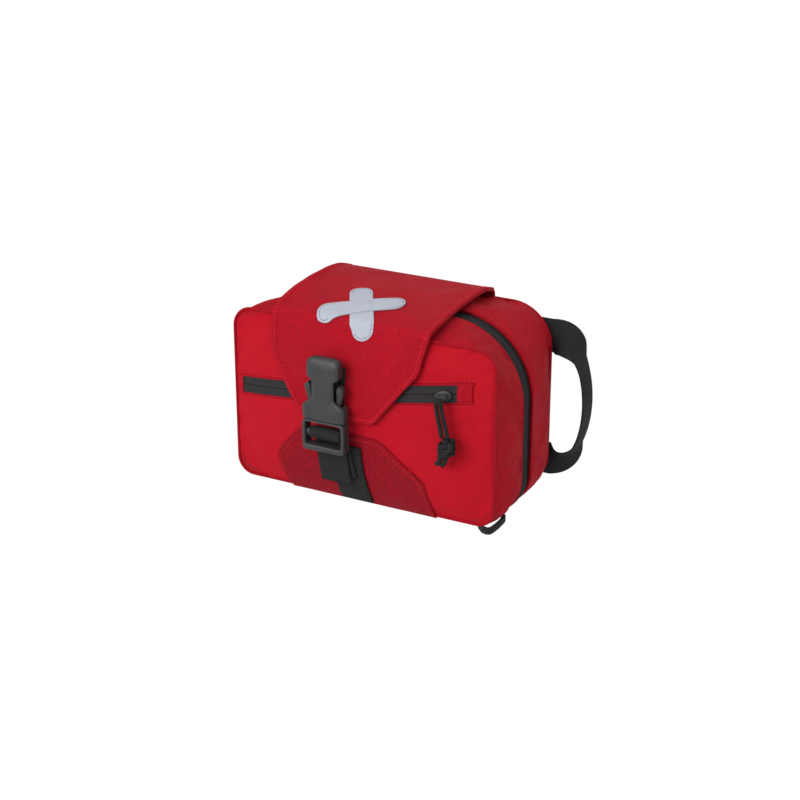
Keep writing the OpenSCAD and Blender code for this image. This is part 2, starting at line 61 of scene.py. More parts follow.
# %% [markdown]
# ## Camera and light
# The camera stands a little to the right and above, with a long lens, as in a shop picture.
# One large soft lamp does most of the work, because cloth shows its folds best when the light
# comes from one side. A white world fills the shadows. There is no floor, because the open
# front half hangs lower than the base.
# %% Camera
AZIMUTH, ELEVATION = np.radians(28.3), np.radians(22.0)
CAMERA_FAR, CAMERA_RIGHT, CAMERA_UP, ZIP_SHIFT = 1.307, 0.003, 0.0569, 0.01
flat_back = np.array([np.sin(AZIMUTH), -np.cos(AZIMUTH), 0])
back = flat_back * np.cos(ELEVATION) + np.array([0, 0, np.sin(ELEVATION)])
right = np.array([np.cos(AZIMUTH), np.sin(AZIMUTH), 0.0])
up = np.cross(back, right)
camera = bpy.data.objects.new("camera", bpy.data.cameras.new("camera"))
camera.data.lens = 81.0
camera.location = back * CAMERA_FAR + right * CAMERA_RIGHT + up * CAMERA_UP + np.array([0, ZIP_SHIFT, 0])
camera.rotation_euler = Vector(-back).to_track_quat("-Z", "Y").to_euler()
bpy.context.collection.objects.link(camera)
bpy.context.scene.camera = camera
print("camera at", [round(float(v), 3) for v in camera.location])

# %% Lamps and world
def lamp(name, place, size, watts, target=(0, 0, 0.07)):
    """A square soft lamp at place, turned to face target."""
    light = bpy.data.lights.new(name, "AREA")
    light.shape, light.size, light.energy = "SQUARE", size, watts
    obj = bpy.data.objects.new(name, light)
    obj.location = place
    obj.rotation_euler = (Vector(target) - Vector(place)).to_track_quat("-Z", "Y").to_euler()
    bpy.context.collection.objects.link(obj)


lamp("key_lamp", (-0.35, -1.5, 0.85), 0.9, 25)
lamp("top_lamp", (0.1, 0.2, 1.5), 1.0, 3)
lamp("rim_lamp", (1.3, 0.8, 0.8), 0.7, 2)
world = bpy.data.worlds.new("white_room")
world.use_nodes = True
world.node_tree.nodes["Background"].inputs["Color"].default_value = (1, 1, 1, 1)
world.node_tree.nodes["Background"].inputs["Strength"].default_value = 1.0
bpy.context.scene.world = world
bpy.context.scene.view_settings.view_transform = "Standard"

# %% [markdown]
# ## Making surfaces with numpy
# Every soft piece is a grid of points: two numbers, along and across, give a place in space.
# Whole arrays are worked out at once and put into the mesh in one step. The same grid gives
# the UV map in metres, so a weave keeps its true thread size on any piece.
# %% Grid to mesh
def run_along(path):
    """The running length at each point of a path, from zero."""
    return np.concatenate([[0], np.linalg.norm(np.diff(path, axis=0), axis=1).cumsum()])


def run_lengths(p):
    """UV in metres: the running length across each row, and along each column, of a grid."""
    across = np.linalg.norm(np.diff(p, axis=1), axis=2).cumsum(axis=1)
    along = np.linalg.norm(np.diff(p, axis=0), axis=2).cumsum(axis=0)
    u = np.concatenate([np.zeros((len(p), 1)), across], axis=1)
    v = np.concatenate([np.zeros((1, p.shape[1])), along], axis=0)
    return np.stack([u, v], axis=2) * MM


def outwards(mesh, doubles=None):
    """Turns the faces outwards, and first merges points closer than doubles millimetres."""
    bm = bmesh.new()
    bm.from_mesh(mesh)
    if doubles:
        bmesh.ops.remove_doubles(bm, verts=bm.verts, dist=doubles * MM)
    bmesh.ops.recalc_face_normals(bm, faces=bm.faces)
    bm.to_mesh(mesh)
    bm.free()


def placed(name, mesh):
    """A new object for a mesh, put into the scene."""
    obj = bpy.data.objects.new(name, mesh)
    bpy.context.collection.objects.link(obj)
    return obj


def surface(name, points, uv=None, wrap=False, ends="open", outward=True):
    """A mesh of quads between neighbours of a rows x columns x 3 grid of millimetres.
    wrap joins the last column to the first. ends is open, fan (a middle point closes the
    first and last row) or slab (the row is folded flat, so its two halves are joined)."""
    p = np.asarray(points, float)
    rows, cols = p.shape[:2]
    wide = cols if wrap else cols - 1
    if uv is None:
        uv = run_lengths(np.concatenate([p, p[:, :1]], axis=1) if wrap else p)
    r, c = [a.ravel() for a in np.meshgrid(np.arange(rows - 1), np.arange(wide), indexing="ij")]
    n = (c + 1) % cols
    faces = np.stack([r * cols + c, r * cols + n, (r + 1) * cols + n, (r + 1) * cols + c], 1).tolist()
    corners = [np.stack([uv[r, c], uv[r, c + 1], uv[r + 1, c + 1], uv[r + 1, c]], 1).reshape(-1, 2)]
    verts = [p.reshape(-1, 3)]
    for row in (0, rows - 1):
        at = np.arange(cols)
        if ends == "fan":
            middle = rows * cols + len(verts) - 1
            verts.append(p[row].mean(axis=0)[None])
            tris = np.stack([row * cols + at, row * cols + (at + 1) % cols, np.full(cols, middle)], 1)
            faces += tris.tolist()
            centre = np.broadcast_to(uv[row].mean(axis=0), (cols, 2))
            corners.append(np.stack([uv[row, at], uv[row, at + 1], centre], 1).reshape(-1, 2))
        if ends == "slab":
            k = at[:cols // 2 - 1]
            far = cols - 1 - k
            quads = np.stack([k, k + 1, far - 1, far], 1)
            faces += (row * cols + quads).tolist()
            corners.append(uv[row][quads].reshape(-1, 2))
    mesh = bpy.data.meshes.new(name)
    mesh.from_pydata((np.concatenate(verts) * MM).tolist(), [], faces)
    layer = mesh.uv_layers.new(name="cloth")
    layer.data.foreach_set("uv", np.concatenate(corners).astype(np.float32).ravel())
    if outward:
        outwards(mesh)
    mesh.polygons.foreach_set("use_smooth", np.ones(len(mesh.polygons), bool))
    return placed(name, mesh)


def slab(name, under, over, uv=None, bevel=0.35):
    """A closed sheet between two grids: each row goes over, then back under, as one ring."""
    ring = np.concatenate([over, under[:, ::-1]], axis=1)
    if uv is None:
        uv = run_lengths(over)
    both = np.concatenate([uv, uv[:, ::-1], uv[:, :1]], axis=1)
    obj = surface(name, ring, uv=both, wrap=True, ends="slab")
    if bevel:
        soften(obj, bevel, 2)
    return obj


def soften(obj, width, segments=2, angle=50):
    """Rounds the edges that are sharper than angle degrees, width in millimetres."""
    bevel = obj.modifiers.new("round_edges", "BEVEL")
    bevel.width, bevel.segments = width * MM, segments
    bevel.limit_method, bevel.angle_limit = "ANGLE", np.radians(angle)


def refine(grid, times):
    """Catmull-Rom curve through the rows of a grid: each gap is cut into times steps, and
    a point is the cubic of its four neighbouring rows."""
    g = np.asarray(grid, float)
    g = np.concatenate([2 * g[:1] - g[1:2], g, 2 * g[-1:] - g[-2:-1]])
    a, b, c, d = g[:-3], g[1:-2], g[2:-1], g[3:]
    t = (np.arange(times) / times).reshape((1, times) + (1,) * (g.ndim - 1))
    a, b, c, d = [m[:, None] for m in (a, b, c, d)]
    rows = 0.5 * (2 * b + (c - a) * t + (2 * a - 5 * b + 4 * c - d) * t**2 + (3 * b - a - 3 * c + d) * t**3)
    return np.concatenate([rows.reshape((-1,) + g.shape[1:]), g[-2:-1]])


def unit(v):
    """Each vector divided by its length."""
    return v / np.maximum(np.linalg.norm(v, axis=-1, keepdims=True), 1e-9)


# %% Ribbons, tubes and lofts
WEB_POWER = 0.45


def superellipse(sides, power):
    """The x and y of a superellipse: a cosine and a sine, each raised to power."""
    angle = np.linspace(0, 2 * np.pi, sides, endpoint=False)
    return [np.sign(f) * np.abs(f) ** power for f in (np.cos(angle), np.sin(angle))]


def ribbon(name, path, wide, half_w, half_t, sides=20):
    """Webbing along a path: the section is a superellipse, half_w along wide and half_t
    across it. The UV map runs across the width and along the length."""
    path = np.asarray(path, float)
    wide = unit(np.broadcast_to(np.asarray(wide, float), path.shape))
    flat = unit(np.cross(unit(np.gradient(path, axis=0)), wide))
    a, b = superellipse(sides, WEB_POWER)
    half_w = np.broadcast_to(np.asarray(half_w, float), len(path))[:, None, None]
    grid = path[:, None] + half_w * a[None, :, None] * wide[:, None]
    grid = grid + half_t * b[None, :, None] * flat[:, None]
    run = run_along(path)
    a = np.append(a, a[0])
    uv = np.stack([half_w[:, :, 0] * a[None] + half_w[:, :, 0], np.repeat(run[:, None], sides + 1, 1)], 2)
    return surface(name, grid, uv=uv * MM, wrap=True, ends="fan")


def tube(name, path, radius, sides=10, hint=(0, 1, 0)):
    """A round tube: circles of radius across the path's direction, turned towards hint."""
    path = np.asarray(path, float)
    d = unit(np.gradient(path, axis=0))
    u = unit(np.cross(d, np.asarray(hint, float)))
    v = np.cross(d, u)
    angle = np.linspace(0, 2 * np.pi, sides, endpoint=False)[None, :, None]
    radius = np.broadcast_to(np.asarray(radius, float), len(path))[:, None, None]
    grid = path[:, None] + radius * (np.cos(angle) * u[:, None] + np.sin(angle) * v[:, None])
    return surface(name, grid, wrap=True, ends="fan")


def loft(name, centres, half_x, half_y, power=WEB_POWER, sides=40):
    """A moulded part along Z: a superellipse of half_x by half_y about each centre."""
    a, b = superellipse(sides, power)
    centres = np.asarray(centres, float)
    half_x, half_y = [np.broadcast_to(np.asarray(h, float), len(centres)) for h in (half_x, half_y)]
    ring = np.stack([half_x[:, None] * a, half_y[:, None] * b, np.zeros((len(centres), sides))], 2)
    return surface(name, centres[:, None] + ring, wrap=True, ends="fan")


def join(name, objs):
    """The objects' meshes as one object, with the modifiers of the first."""
    bm = bmesh.new()
    for obj in objs:
        bm.from_mesh(obj.data)
    first = objs[0]
    bm.to_mesh(first.data)
    bm.free()
    for obj in objs[1:]:
        bpy.data.objects.remove(obj)
    first.name = first.data.name = name
    return first


# %% [markdown]
# ## Sewing thread
# A row of stitches is hundreds of small spindles along a seam line. Each one is six-sided
# with four rings, so that a whole bag of them stays light. They are real geometry because
# a lit thread throws its own tiny highlight.
# %% Stitches
def stitches(name, path, out, pitch=3.2, length=2.2, radius=0.33):
    """Spindles along a path: the path is cut at equal steps of pitch, and each spindle is
    rings of six points across its direction, flattened towards the cloth."""
    path, out = np.asarray(path, float), np.asarray(out, float)
    run = run_along(path)
    at = np.arange(pitch / 2, run[-1], pitch)
    sample = lambda a, s: np.stack([np.interp(s, run, a[:, k]) for k in range(3)], 1)
    mid, ahead = sample(path, at), sample(path, at + 0.3) - sample(path, at - 0.3)
    t = unit(ahead)
    n = unit(sample(np.broadcast_to(out, path.shape), at))
    s = np.cross(t, n)
    along = np.array([-0.5, -0.3, 0.3, 0.5]) * length
    thick = np.array([0.3, 1, 1, 0.3]) * radius
    angle = np.linspace(0, 2 * np.pi, 6, endpoint=False)
    ring = (along[:, None, None] * t[:, None, None] + thick[:, None, None] * (
        np.cos(angle)[:, None] * s[:, None, None] + 0.7 * np.sin(angle)[:, None] * n[:, None, None]))
    verts = (mid[:, None, None] + ring).reshape(-1, 3) * MM
    r, c = [a.ravel() for a in np.meshgrid(np.arange(3), np.arange(6), indexing="ij")]
    quads = np.stack([r * 6 + c, r * 6 + (c + 1) % 6, (r + 1) * 6 + (c + 1) % 6, (r + 1) * 6 + c], 1)
    start = np.arange(len(at))[:, None] * 24
    caps = np.array([[5, 4, 3, 2, 1, 0], [18, 19, 20, 21, 22, 23]])
    faces = (start[:, :, None] + quads[None]).reshape(-1, 4).tolist()
    faces += (start[:, :, None] + caps[None]).reshape(-1, 6).tolist()
    mesh = bpy.data.meshes.new(name)
    mesh.from_pydata(verts.tolist(), [], faces)
    outwards(mesh)
    mesh.polygons.foreach_set("use_smooth", np.ones(len(mesh.polygons), bool))
    return placed(name, mesh)


# %% [markdown]
# ## Finishes
# Shared effects are node groups: a weave with slubs, a moulded grain, and a little dust.
# They put out only colours, values and heights. The shader itself stays in each material,
# and any number that is the same all over is typed on the shader's own socket.
# %% Node helpers
def node(tree, kind, inputs=(), **settings):
    """A node with its settings and inputs. An input may be a value or another socket."""
    made = tree.nodes.new(kind)
    for key, value in settings.items():
        setattr(made, key, value)
    for key, value in dict(inputs).items():
        if isinstance(value, bpy.types.NodeSocket):
            tree.links.new(value, made.inputs[key])
        else:
            made.inputs[key].default_value = value
    return made


def maths(tree, operation, a, b=0.0, c=0.0):
    """One Math node, and its result."""
    return node(tree, "ShaderNodeMath", {0: a, 1: b, 2: c}, operation=operation).outputs[0]


def blend_colour(tree, factor, a, b):
    """A colour between a and b."""
    mix = node(tree, "ShaderNodeMix", {0: factor, 6: a, 7: b}, data_type="RGBA")
    return mix.outputs[2]


def group(name, inputs, outputs):
    """An empty node group with named sockets, and its first and last nodes."""
    tree = bpy.data.node_groups.new(name, "ShaderNodeTree")
    for direction, sockets in (("INPUT", inputs), ("OUTPUT", outputs)):
        for label, kind in sockets.items():
            tree.interface.new_socket(name=label, in_out=direction, socket_type="NodeSocket" + kind)
    return tree, node(tree, "NodeGroupInput"), node(tree, "NodeGroupOutput")


def spread(tree, vector, scale, detail=2.0):
    """A noise value over a vector multiplied by three scales."""
    scaled = node(tree, "ShaderNodeVectorMath", {0: vector, 1: scale}, operation="MULTIPLY").outputs[0]
    return node(tree, "ShaderNodeTexNoise", {"Vector": scaled, "Scale": 1.0, "Detail": detail}).outputs["Fac"]


# %% Weave group
weave, enter, leave = group("weave", {"UV": "Vector", "Threads": "Float", "Light": "Color", "Dark": "Color",
                                      "Slub": "Float"}, {"Color": "Color", "Height": "Float"})
pitched = node(weave, "ShaderNodeVectorMath", {0: enter.outputs["UV"], "Scale": enter.outputs["Threads"]},
               operation="SCALE").outputs[0]
axes = node(weave, "ShaderNodeSeparateXYZ", {0: pitched})
over_x = maths(weave, "SINE", maths(weave, "MULTIPLY", axes.outputs[0], np.pi))
over_y = maths(weave, "SINE", maths(weave, "MULTIPLY", axes.outputs[1], np.pi))
warp_up = maths(weave, "GREATER_THAN", maths(weave, "MULTIPLY", over_x, over_y), 0.0)
thread = node(weave, "ShaderNodeMix", {0: warp_up, 2: maths(weave, "ABSOLUTE", over_x),
                                       3: maths(weave, "ABSOLUTE", over_y)}).outputs[0]
slub = maths(weave, "ADD", spread(weave, enter.outputs["UV"], (1300, 190, 1)),
             spread(weave, enter.outputs["UV"], (190, 1300, 1)))
slub = node(weave, "ShaderNodeMapRange", {0: slub, 1: 0.75, 2: 1.3, 3: 0.0, 4: 1.0}).outputs[0]
slub = maths(weave, "MULTIPLY", slub, enter.outputs["Slub"])
cloud = spread(weave, enter.outputs["UV"], (28, 28, 1), 3.0)
shade = maths(weave, "ADD", maths(weave, "MULTIPLY", cloud, 0.35),
              maths(weave, "MULTIPLY", maths(weave, "SUBTRACT", 1.0, thread), 0.3))
shade = maths(weave, "ADD", shade, slub)
woven_colour = blend_colour(weave, shade, enter.outputs["Light"], enter.outputs["Dark"])
weave.links.new(woven_colour, leave.inputs["Color"])
weave.links.new(maths(weave, "MULTIPLY_ADD", slub, -0.8, thread), leave.inputs["Height"])

# %% Grain and dust groups
grain, enter, leave = group("grain", {"Place": "Vector", "Light": "Color", "Dark": "Color", "Size": "Float"},
                            {"Color": "Color", "Height": "Float", "Roughness": "Float"})
scaled = node(grain, "ShaderNodeVectorMath", {0: enter.outputs["Place"], "Scale": enter.outputs["Size"]},
              operation="SCALE").outputs[0]
pits = node(grain, "ShaderNodeTexVoronoi", {"Vector": scaled, "Scale": 1.0}).outputs["Distance"]
worn = spread(grain, enter.outputs["Place"], (70, 70, 70), 5.0)
grain_colour = blend_colour(grain, worn, enter.outputs["Dark"], enter.outputs["Light"])
grain.links.new(grain_colour, leave.inputs["Color"])
grain.links.new(pits, leave.inputs["Height"])
grain.links.new(node(grain, "ShaderNodeMapRange", {0: worn, 1: 0.3, 2: 0.7, 3: 0.36, 4: 0.56}).outputs[0],
                leave.inputs["Roughness"])

dust, enter, leave = group("dust", {"Place": "Vector", "Base": "Color", "Dust": "Color", "Amount": "Float"},
                           {"Color": "Color", "Roughness": "Float"})
specks = spread(dust, enter.outputs["Place"], (420, 420, 420), 4.0)
patches = spread(dust, enter.outputs["Place"], (22, 22, 30), 3.0)
cover = maths(dust, "MULTIPLY", maths(dust, "MULTIPLY", specks, patches), enter.outputs["Amount"])
dust.links.new(blend_colour(dust, cover, enter.outputs["Base"], enter.outputs["Dust"]), leave.inputs["Color"])
dust.links.new(node(dust, "ShaderNodeMapRange", {0: patches, 1: 0.3, 2: 0.7, 3: 0.7, 4: 0.92}).outputs[0],
               leave.inputs["Roughness"])
print("groups:", [g.name for g in bpy.data.node_groups])


# %% Cloth, moulded and plain finishes
def start(name, roughness):
    """A new material: its tree and its shader, with a plain roughness."""
    material = bpy.data.materials.new(name)
    material.use_nodes = True
    shader = material.node_tree.nodes["Principled BSDF"]
    shader.inputs["Roughness"].default_value = roughness
    return material, material.node_tree, shader


def bump(tree, shader, height, millimetres):
    """Height as a bump of so many millimetres."""
    made = node(tree, "ShaderNodeBump", {"Height": height, "Distance": millimetres * MM, "Strength": 1.0})
    tree.links.new(made.outputs[0], shader.inputs["Normal"])


def srgb(*values):
    """A colour given as 0 to 255 screen values, as the linear colour that Blender mixes."""
    v = np.array(values) / 255
    v = np.where(v <= 0.04045, v / 12.92, ((v + 0.055) / 1.055) ** 2.4)
    return (*v.tolist(), 1.0)


def cloth(name, light, dark, threads=1700, slub=0.5, depth=0.12, sheen=0.0, tint=None, dusty=0.035):
    """Woven nylon: the weave on the UV map, with dust on it."""
    material, tree, shader = start(name, 0.8)
    uv = node(tree, "ShaderNodeUVMap", uv_map="cloth").outputs[0]
    place = node(tree, "ShaderNodeTexCoord").outputs["Object"]
    woven = node(tree, "ShaderNodeGroup", node_tree=weave)
    for key, value in {"Threads": threads, "Light": light, "Dark": dark, "Slub": slub}.items():
        woven.inputs[key].default_value = value
    tree.links.new(uv, woven.inputs["UV"])
    dusted = node(tree, "ShaderNodeGroup", node_tree=dust)
    dusted.inputs["Dust"].default_value = tint or srgb(150, 120, 118)
    dusted.inputs["Amount"].default_value = dusty
    tree.links.new(place, dusted.inputs["Place"])
    tree.links.new(woven.outputs["Color"], dusted.inputs["Base"])
    tree.links.new(dusted.outputs["Color"], shader.inputs["Base Color"])
    tree.links.new(dusted.outputs["Roughness"], shader.inputs["Roughness"])
    shader.inputs["Sheen Weight"].default_value = sheen
    shader.inputs["Sheen Roughness"].default_value = 0.4
    shader.inputs["Specular IOR Level"].default_value = 0.1
    bump(tree, shader, woven.outputs["Height"], depth)
    return material


def moulded(name, light, dark, size=2600, depth=0.03, metallic=0.0, coat=0.0):
    """Moulded plastic or painted metal with a fine grain on Object coordinates."""
    material, tree, shader = start(name, 0.45)
    place = node(tree, "ShaderNodeTexCoord").outputs["Object"]
    grained = node(tree, "ShaderNodeGroup", node_tree=grain)
    for key, value in {"Light": light, "Dark": dark, "Size": size}.items():
        grained.inputs[key].default_value = value
    tree.links.new(place, grained.inputs["Place"])
    tree.links.new(grained.outputs["Color"], shader.inputs["Base Color"])
    tree.links.new(grained.outputs["Roughness"], shader.inputs["Roughness"])
    shader.inputs["Metallic"].default_value = metallic
    shader.inputs["Coat Weight"].default_value = coat
    shader.inputs["Specular IOR Level"].default_value = 0.35
    bump(tree, shader, grained.outputs["Height"], depth)
    return material


red_cloth = cloth("red_nylon_cloth", srgb(168, 3, 25), srgb(118, 2, 18))
smooth_red = cloth("red_pocket_cloth", srgb(163, 3, 23), srgb(138, 2, 19), slub=0.18, depth=0.06)
wing_red = cloth("dark_red_cloth", srgb(154, 5, 25), srgb(104, 3, 18), slub=0.75, depth=0.14)
lining_cloth = cloth("lining_cloth", srgb(60, 61, 64), srgb(34, 35, 37), threads=2300, slub=0.25, depth=0.06)
webbing_cloth = cloth("webbing_weave", srgb(38, 38, 39), srgb(13, 13, 14), threads=760, slub=0.2, depth=0.3,
                      dusty=0.03)
zip_cloth = cloth("zip_tape_weave", srgb(46, 46, 48), srgb(20, 20, 22), threads=1250, slub=0.15, depth=0.14,
                  dusty=0.03)
patch_cloth = cloth("reflective_cloth", srgb(162, 166, 176), srgb(128, 133, 144), threads=2600, slub=0.2,
                    depth=0.05, dusty=0.03)
cord_braid = cloth("cord_braid", srgb(44, 45, 45), srgb(13, 14, 14), threads=1500, slub=0.1, depth=0.3,
                   dusty=0.03)
gauze_cloth = cloth("bandage_gauze", srgb(236, 232, 222), srgb(196, 190, 176), threads=1100, slub=0.3,
                    depth=0.25)
mesh_cloth = cloth("elastic_mesh", srgb(58, 59, 61), srgb(14, 14, 15), threads=620, slub=0.1, depth=0.4)
paper = cloth("packet_paper", srgb(236, 234, 228), srgb(214, 211, 202), threads=2600, slub=0.35, depth=0.04)
foil = moulded("foil", srgb(222, 205, 150), srgb(180, 158, 96), size=240, depth=0.5, metallic=0.9)
plastic = moulded("buckle_plastic", srgb(47, 48, 50), srgb(28, 29, 31))
painted = moulded("slider_paint", srgb(58, 58, 60), srgb(34, 34, 36), size=1500, depth=0.02, metallic=0.4)
steel = moulded("brushed_steel", srgb(196, 198, 200), srgb(150, 152, 155), size=900, depth=0.01, metallic=1.0)
red_thread = cloth("red_thread", srgb(206, 36, 56), srgb(160, 14, 34), threads=3000, slub=0.1, depth=0.05)
grey_thread = cloth("grey_thread", srgb(104, 108, 116), srgb(70, 74, 82), threads=3000, slub=0.1, depth=0.05)
black_thread = cloth("black_thread", srgb(56, 56, 57), srgb(22, 22, 23), threads=3000, slub=0.1, depth=0.05)
print("materials:", len(bpy.data.materials))


# %% Putting a piece on its body
def dress(obj, body, material, nodes=(), levels=0):
    """Gives a piece its finish, its body and the CAD nodes that it stands for."""
    obj.data.materials.clear()
    obj.data.materials.append(material)
    if levels:
        smooth = obj.modifiers.new("smooth", "SUBSURF")
        smooth.levels = smooth.render_levels = levels
    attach(obj, body)
    if nodes:
        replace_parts(obj, *nodes)
    return obj


def sew(name, path, out, body, thread, slot, **size):
    """A row of stitches, given its thread and its body."""
    return dress(stitches(name, path, out, **size), body, thread)


def cut_sheet(obj, grid):
    """Prints the cut of a sheet of cloth: the longest row by the longest column of its
    grid, in metres."""
    down, across = np.diff(grid, axis=0), np.diff(grid, axis=1)
    flat = (np.linalg.norm(across, axis=2).sum(1).max(), np.linalg.norm(down, axis=2).sum(0).max())
    flat = tuple(round(float(side) * MM, 4) for side in flat)
    print(obj.name, "cut from", flat)


# %% [markdown]
# ## The bag's outline
# Cut the bag across at any depth and you see a rounded rectangle. It is widest at the main
# zip and narrower at the front and back seams, and its upper corners are rounder in the
# middle. The two panels then swell out between their seams, as a filled bag does.
# %% Outline functions
FRONT_DEPTH, BACK_DEPTH, HALF_FRONT, HALF_MIDDLE = 40.0, 60.0, 101.5, 107.5
MIDDLE_Z, HALF_HEIGHT = 68.0, 63.0
CORNER, SIDE, FLAT = 18, 24, 40


def swell(x, z):
    """How much of its bulge a panel has at x, z: one minus the cube of each share."""
    across = 1 - np.minimum(1, np.abs(x) / HALF_FRONT) ** 3
    return across * (1 - np.minimum(1, np.abs(z - MIDDLE_Z) / HALF_HEIGHT) ** 3)


def front_y(x, z):
    """The front panel: the seam plane, less twelve times the swell."""
    return -FRONT_DEPTH - 12 * swell(x, z)


def back_y(x, z):
    """The back panel: the seam plane, plus twice the swell."""
    return BACK_DEPTH + 2 * swell(x, z)


def ring(w, low, high, r_high, r_low):
    """A rounded rectangle of half width w from low to high: four quarter circles and the
    evenly divided straight runs between them, anticlockwise from the bottom right."""
    def quarter(x, z, r, a):
        t = np.radians(a + 90 * np.linspace(0, 1, CORNER))
        return np.stack([x + r * np.cos(t), z + r * np.sin(t)], 1)

    def straight(a, b, n):
        t = np.linspace(0, 1, n + 2)[1:-1, None]
        return a + (b - a) * t

    q = [quarter(w - r_low, low + r_low, r_low, -90), quarter(w - r_high, high - r_high, r_high, 0),
         quarter(r_high - w, high - r_high, r_high, 90), quarter(r_low - w, low + r_low, r_low, 180)]
    runs = [straight(q[0][-1], q[1][0], SIDE), straight(q[1][-1], q[2][0], FLAT),
            straight(q[2][-1], q[3][0], SIDE), straight(q[3][-1], q[0][0], FLAT)]
    return np.concatenate([part for pair in zip(q, runs) for part in pair])


def bag_ring(q, side, inset=0.0):
    """The bag's section at share q of the way from the zip to a seam, as x, z points."""
    low = 5 * max(0.0, (q - 0.6) / 0.4) ** 2
    w = HALF_MIDDLE - (6.0 if side < 0 else 10.5) * q * q
    top = 138.7 - (7.7 if side < 0 else 6.7) * q * q
    r_high = 57 - (43 if side < 0 else 27) * q * q
    return ring(w - inset, low + inset, top - inset, r_high - inset, 28 - 16 * q * q - inset)


def depth(q, side):
    """How far a section lies from the zip, in millimetres: negative towards the front."""
    return -q * FRONT_DEPTH if side < 0 else q * BACK_DEPTH


print("points round the bag:", len(bag_ring(0.5, 1)))

# %% [markdown]
# ## Padded walls
# Each half of the bag is a side wall and a face panel, sewn together along the seam. The
# walls are foam between two cloths. Their outer grids are inflated by a short cloth
# simulation with every seam pinned: that gives the small unequal swellings that make cloth
# look like cloth. How far a point may move is capped, so zips and straps still lie on it.
# %% Cloth simulation
PRESSURE, FRAMES = 4.0, 20


def inflate(name, grid, wrap, pins, cap):
    """Runs Cloth on a grid of millimetres and gives back the moved grid. pins is a weight
    per point, and no point moves further than its cap."""
    obj = surface(name, grid, wrap=wrap, outward=False)
    pinned = obj.vertex_groups.new(name="pins")
    flat_pins = pins.ravel()
    for weight in np.unique(flat_pins):
        if weight > 0:
            pinned.add(np.flatnonzero(flat_pins == weight).tolist(), float(weight), "REPLACE")
    sim = obj.modifiers.new("cloth", "CLOTH")
    sim.settings.effector_weights.gravity = 0
    sim.settings.vertex_group_mass = "pins"
    sim.settings.use_pressure = True
    sim.settings.uniform_pressure_force = PRESSURE
    sim.settings.shrink_min = -0.035
    sim.settings.tension_stiffness = sim.settings.compression_stiffness = 25
    sim.settings.bending_stiffness = 0.4
    sim.settings.quality = 6
    sim.point_cache.frame_start, sim.point_cache.frame_end = 1, FRAMES
    scene = bpy.context.scene
    for number in range(1, FRAMES + 1):
        scene.frame_set(number)
    moved = obj.evaluated_get(bpy.context.evaluated_depsgraph_get()).data
    points = np.empty(len(moved.vertices) * 3, np.float32)
    moved.vertices.foreach_get("co", points)
    bpy.data.objects.remove(obj)
    scene.frame_set(1)
    shift = points.reshape(grid.shape).astype(float) / MM - grid
    size = np.linalg.norm(shift, axis=-1, keepdims=True)
    limit = np.asarray(cap, float)[..., None]
    print(name, "moved up to", round(float(size.max()), 2), "mm before the cap")
    return grid + shift / np.maximum(size, 1e-6) * limit * np.tanh(size / np.maximum(limit, 1e-6))


# %% Side walls
SHELL, LINING, WALL_START = 2.4, 4.0, 7.5


def wall_q(side):
    """Shares of the way from the zip to a seam: the wall starts WALL_START from the zip."""
    start = WALL_START / (FRONT_DEPTH if side < 0 else BACK_DEPTH)
    return start + (1 - start) * np.sin(np.linspace(0, np.pi / 2, 16))


def ring_run(points):
    """The running length round a closed ring of x, z points, with the closing step."""
    return run_along(np.concatenate([points, points[:1]]))


def wall_grid(side, inset, puff=0.0):
    """Sections from the zip to the seam. puff stands the middle of the wall out by so many
    millimetres, as a half sine from one seam to the other, with slanting tension folds."""
    rows = []
    run = ring_run(bag_ring(0.5, side))[:-1]
    shares = wall_q(side)
    for q in shares:
        p = bag_ring(q, side, inset)
        share = np.sin(np.pi * (q - shares[0]) / (1 - shares[0]))
        out = unit(np.stack([np.gradient(p[:, 1]), -np.gradient(p[:, 0])], 1))
        folds = 0.5 * np.sin(run / 9.0 + 5 * q) * np.sin(run / 31.0 + 2.2 * side)
        folds += 0.25 * np.sin(run / 4.3 - 9 * q)
        above = np.clip(p[:, 1] / 12, 0, 1)
        stand = share * (puff + 0.8 * folds * (puff > 0)) * above
        y = depth(q, side) - side * inset * (q > 0.999)
        rows.append(np.insert(p + out * stand[:, None], 1, y, axis=1))
    return np.array(rows)


def wall_uv(side):
    """UV in metres: the running length round the bag, and the depth."""
    run = ring_run(bag_ring(0.5, side))
    return np.stack(np.meshgrid(run, np.abs(depth(wall_q(side), side))), 2) * MM


def side_wall(name, side):
    """The outer cloth of a side wall: inflated outside, plain inside, closed at both rims."""
    outer, inner = wall_grid(side, 0.0, 1.2), wall_grid(side, SHELL)
    pins = np.zeros(outer.shape[:2])
    pins[:1] = pins[-1:] = 1
    pins[outer[..., 2] < 6] = 1
    cap = np.where(pins > 0, 0, 1.5)
    outer = inflate(name + "_cloth", outer, True, pins, cap)
    uv = wall_uv(side)
    both = np.concatenate([outer, inner[::-1], outer[:1]])
    obj = surface(name, both, uv=np.concatenate([uv, uv[::-1], uv[:1]]), wrap=True)
    merge(obj)
    return obj


def merge(obj, distance=0.0004):
    """Merges an object's doubled points, given in millimetres."""
    outwards(obj.data, distance)


for side, name, body in ((-1, "front_side_wall", "front_half"), (1, "back_side_wall", "back_half")):
    wall = side_wall(name, side)
    dress(wall, body, red_cloth, levels=1)
    print(name, "faces", len(wall.data.polygons))

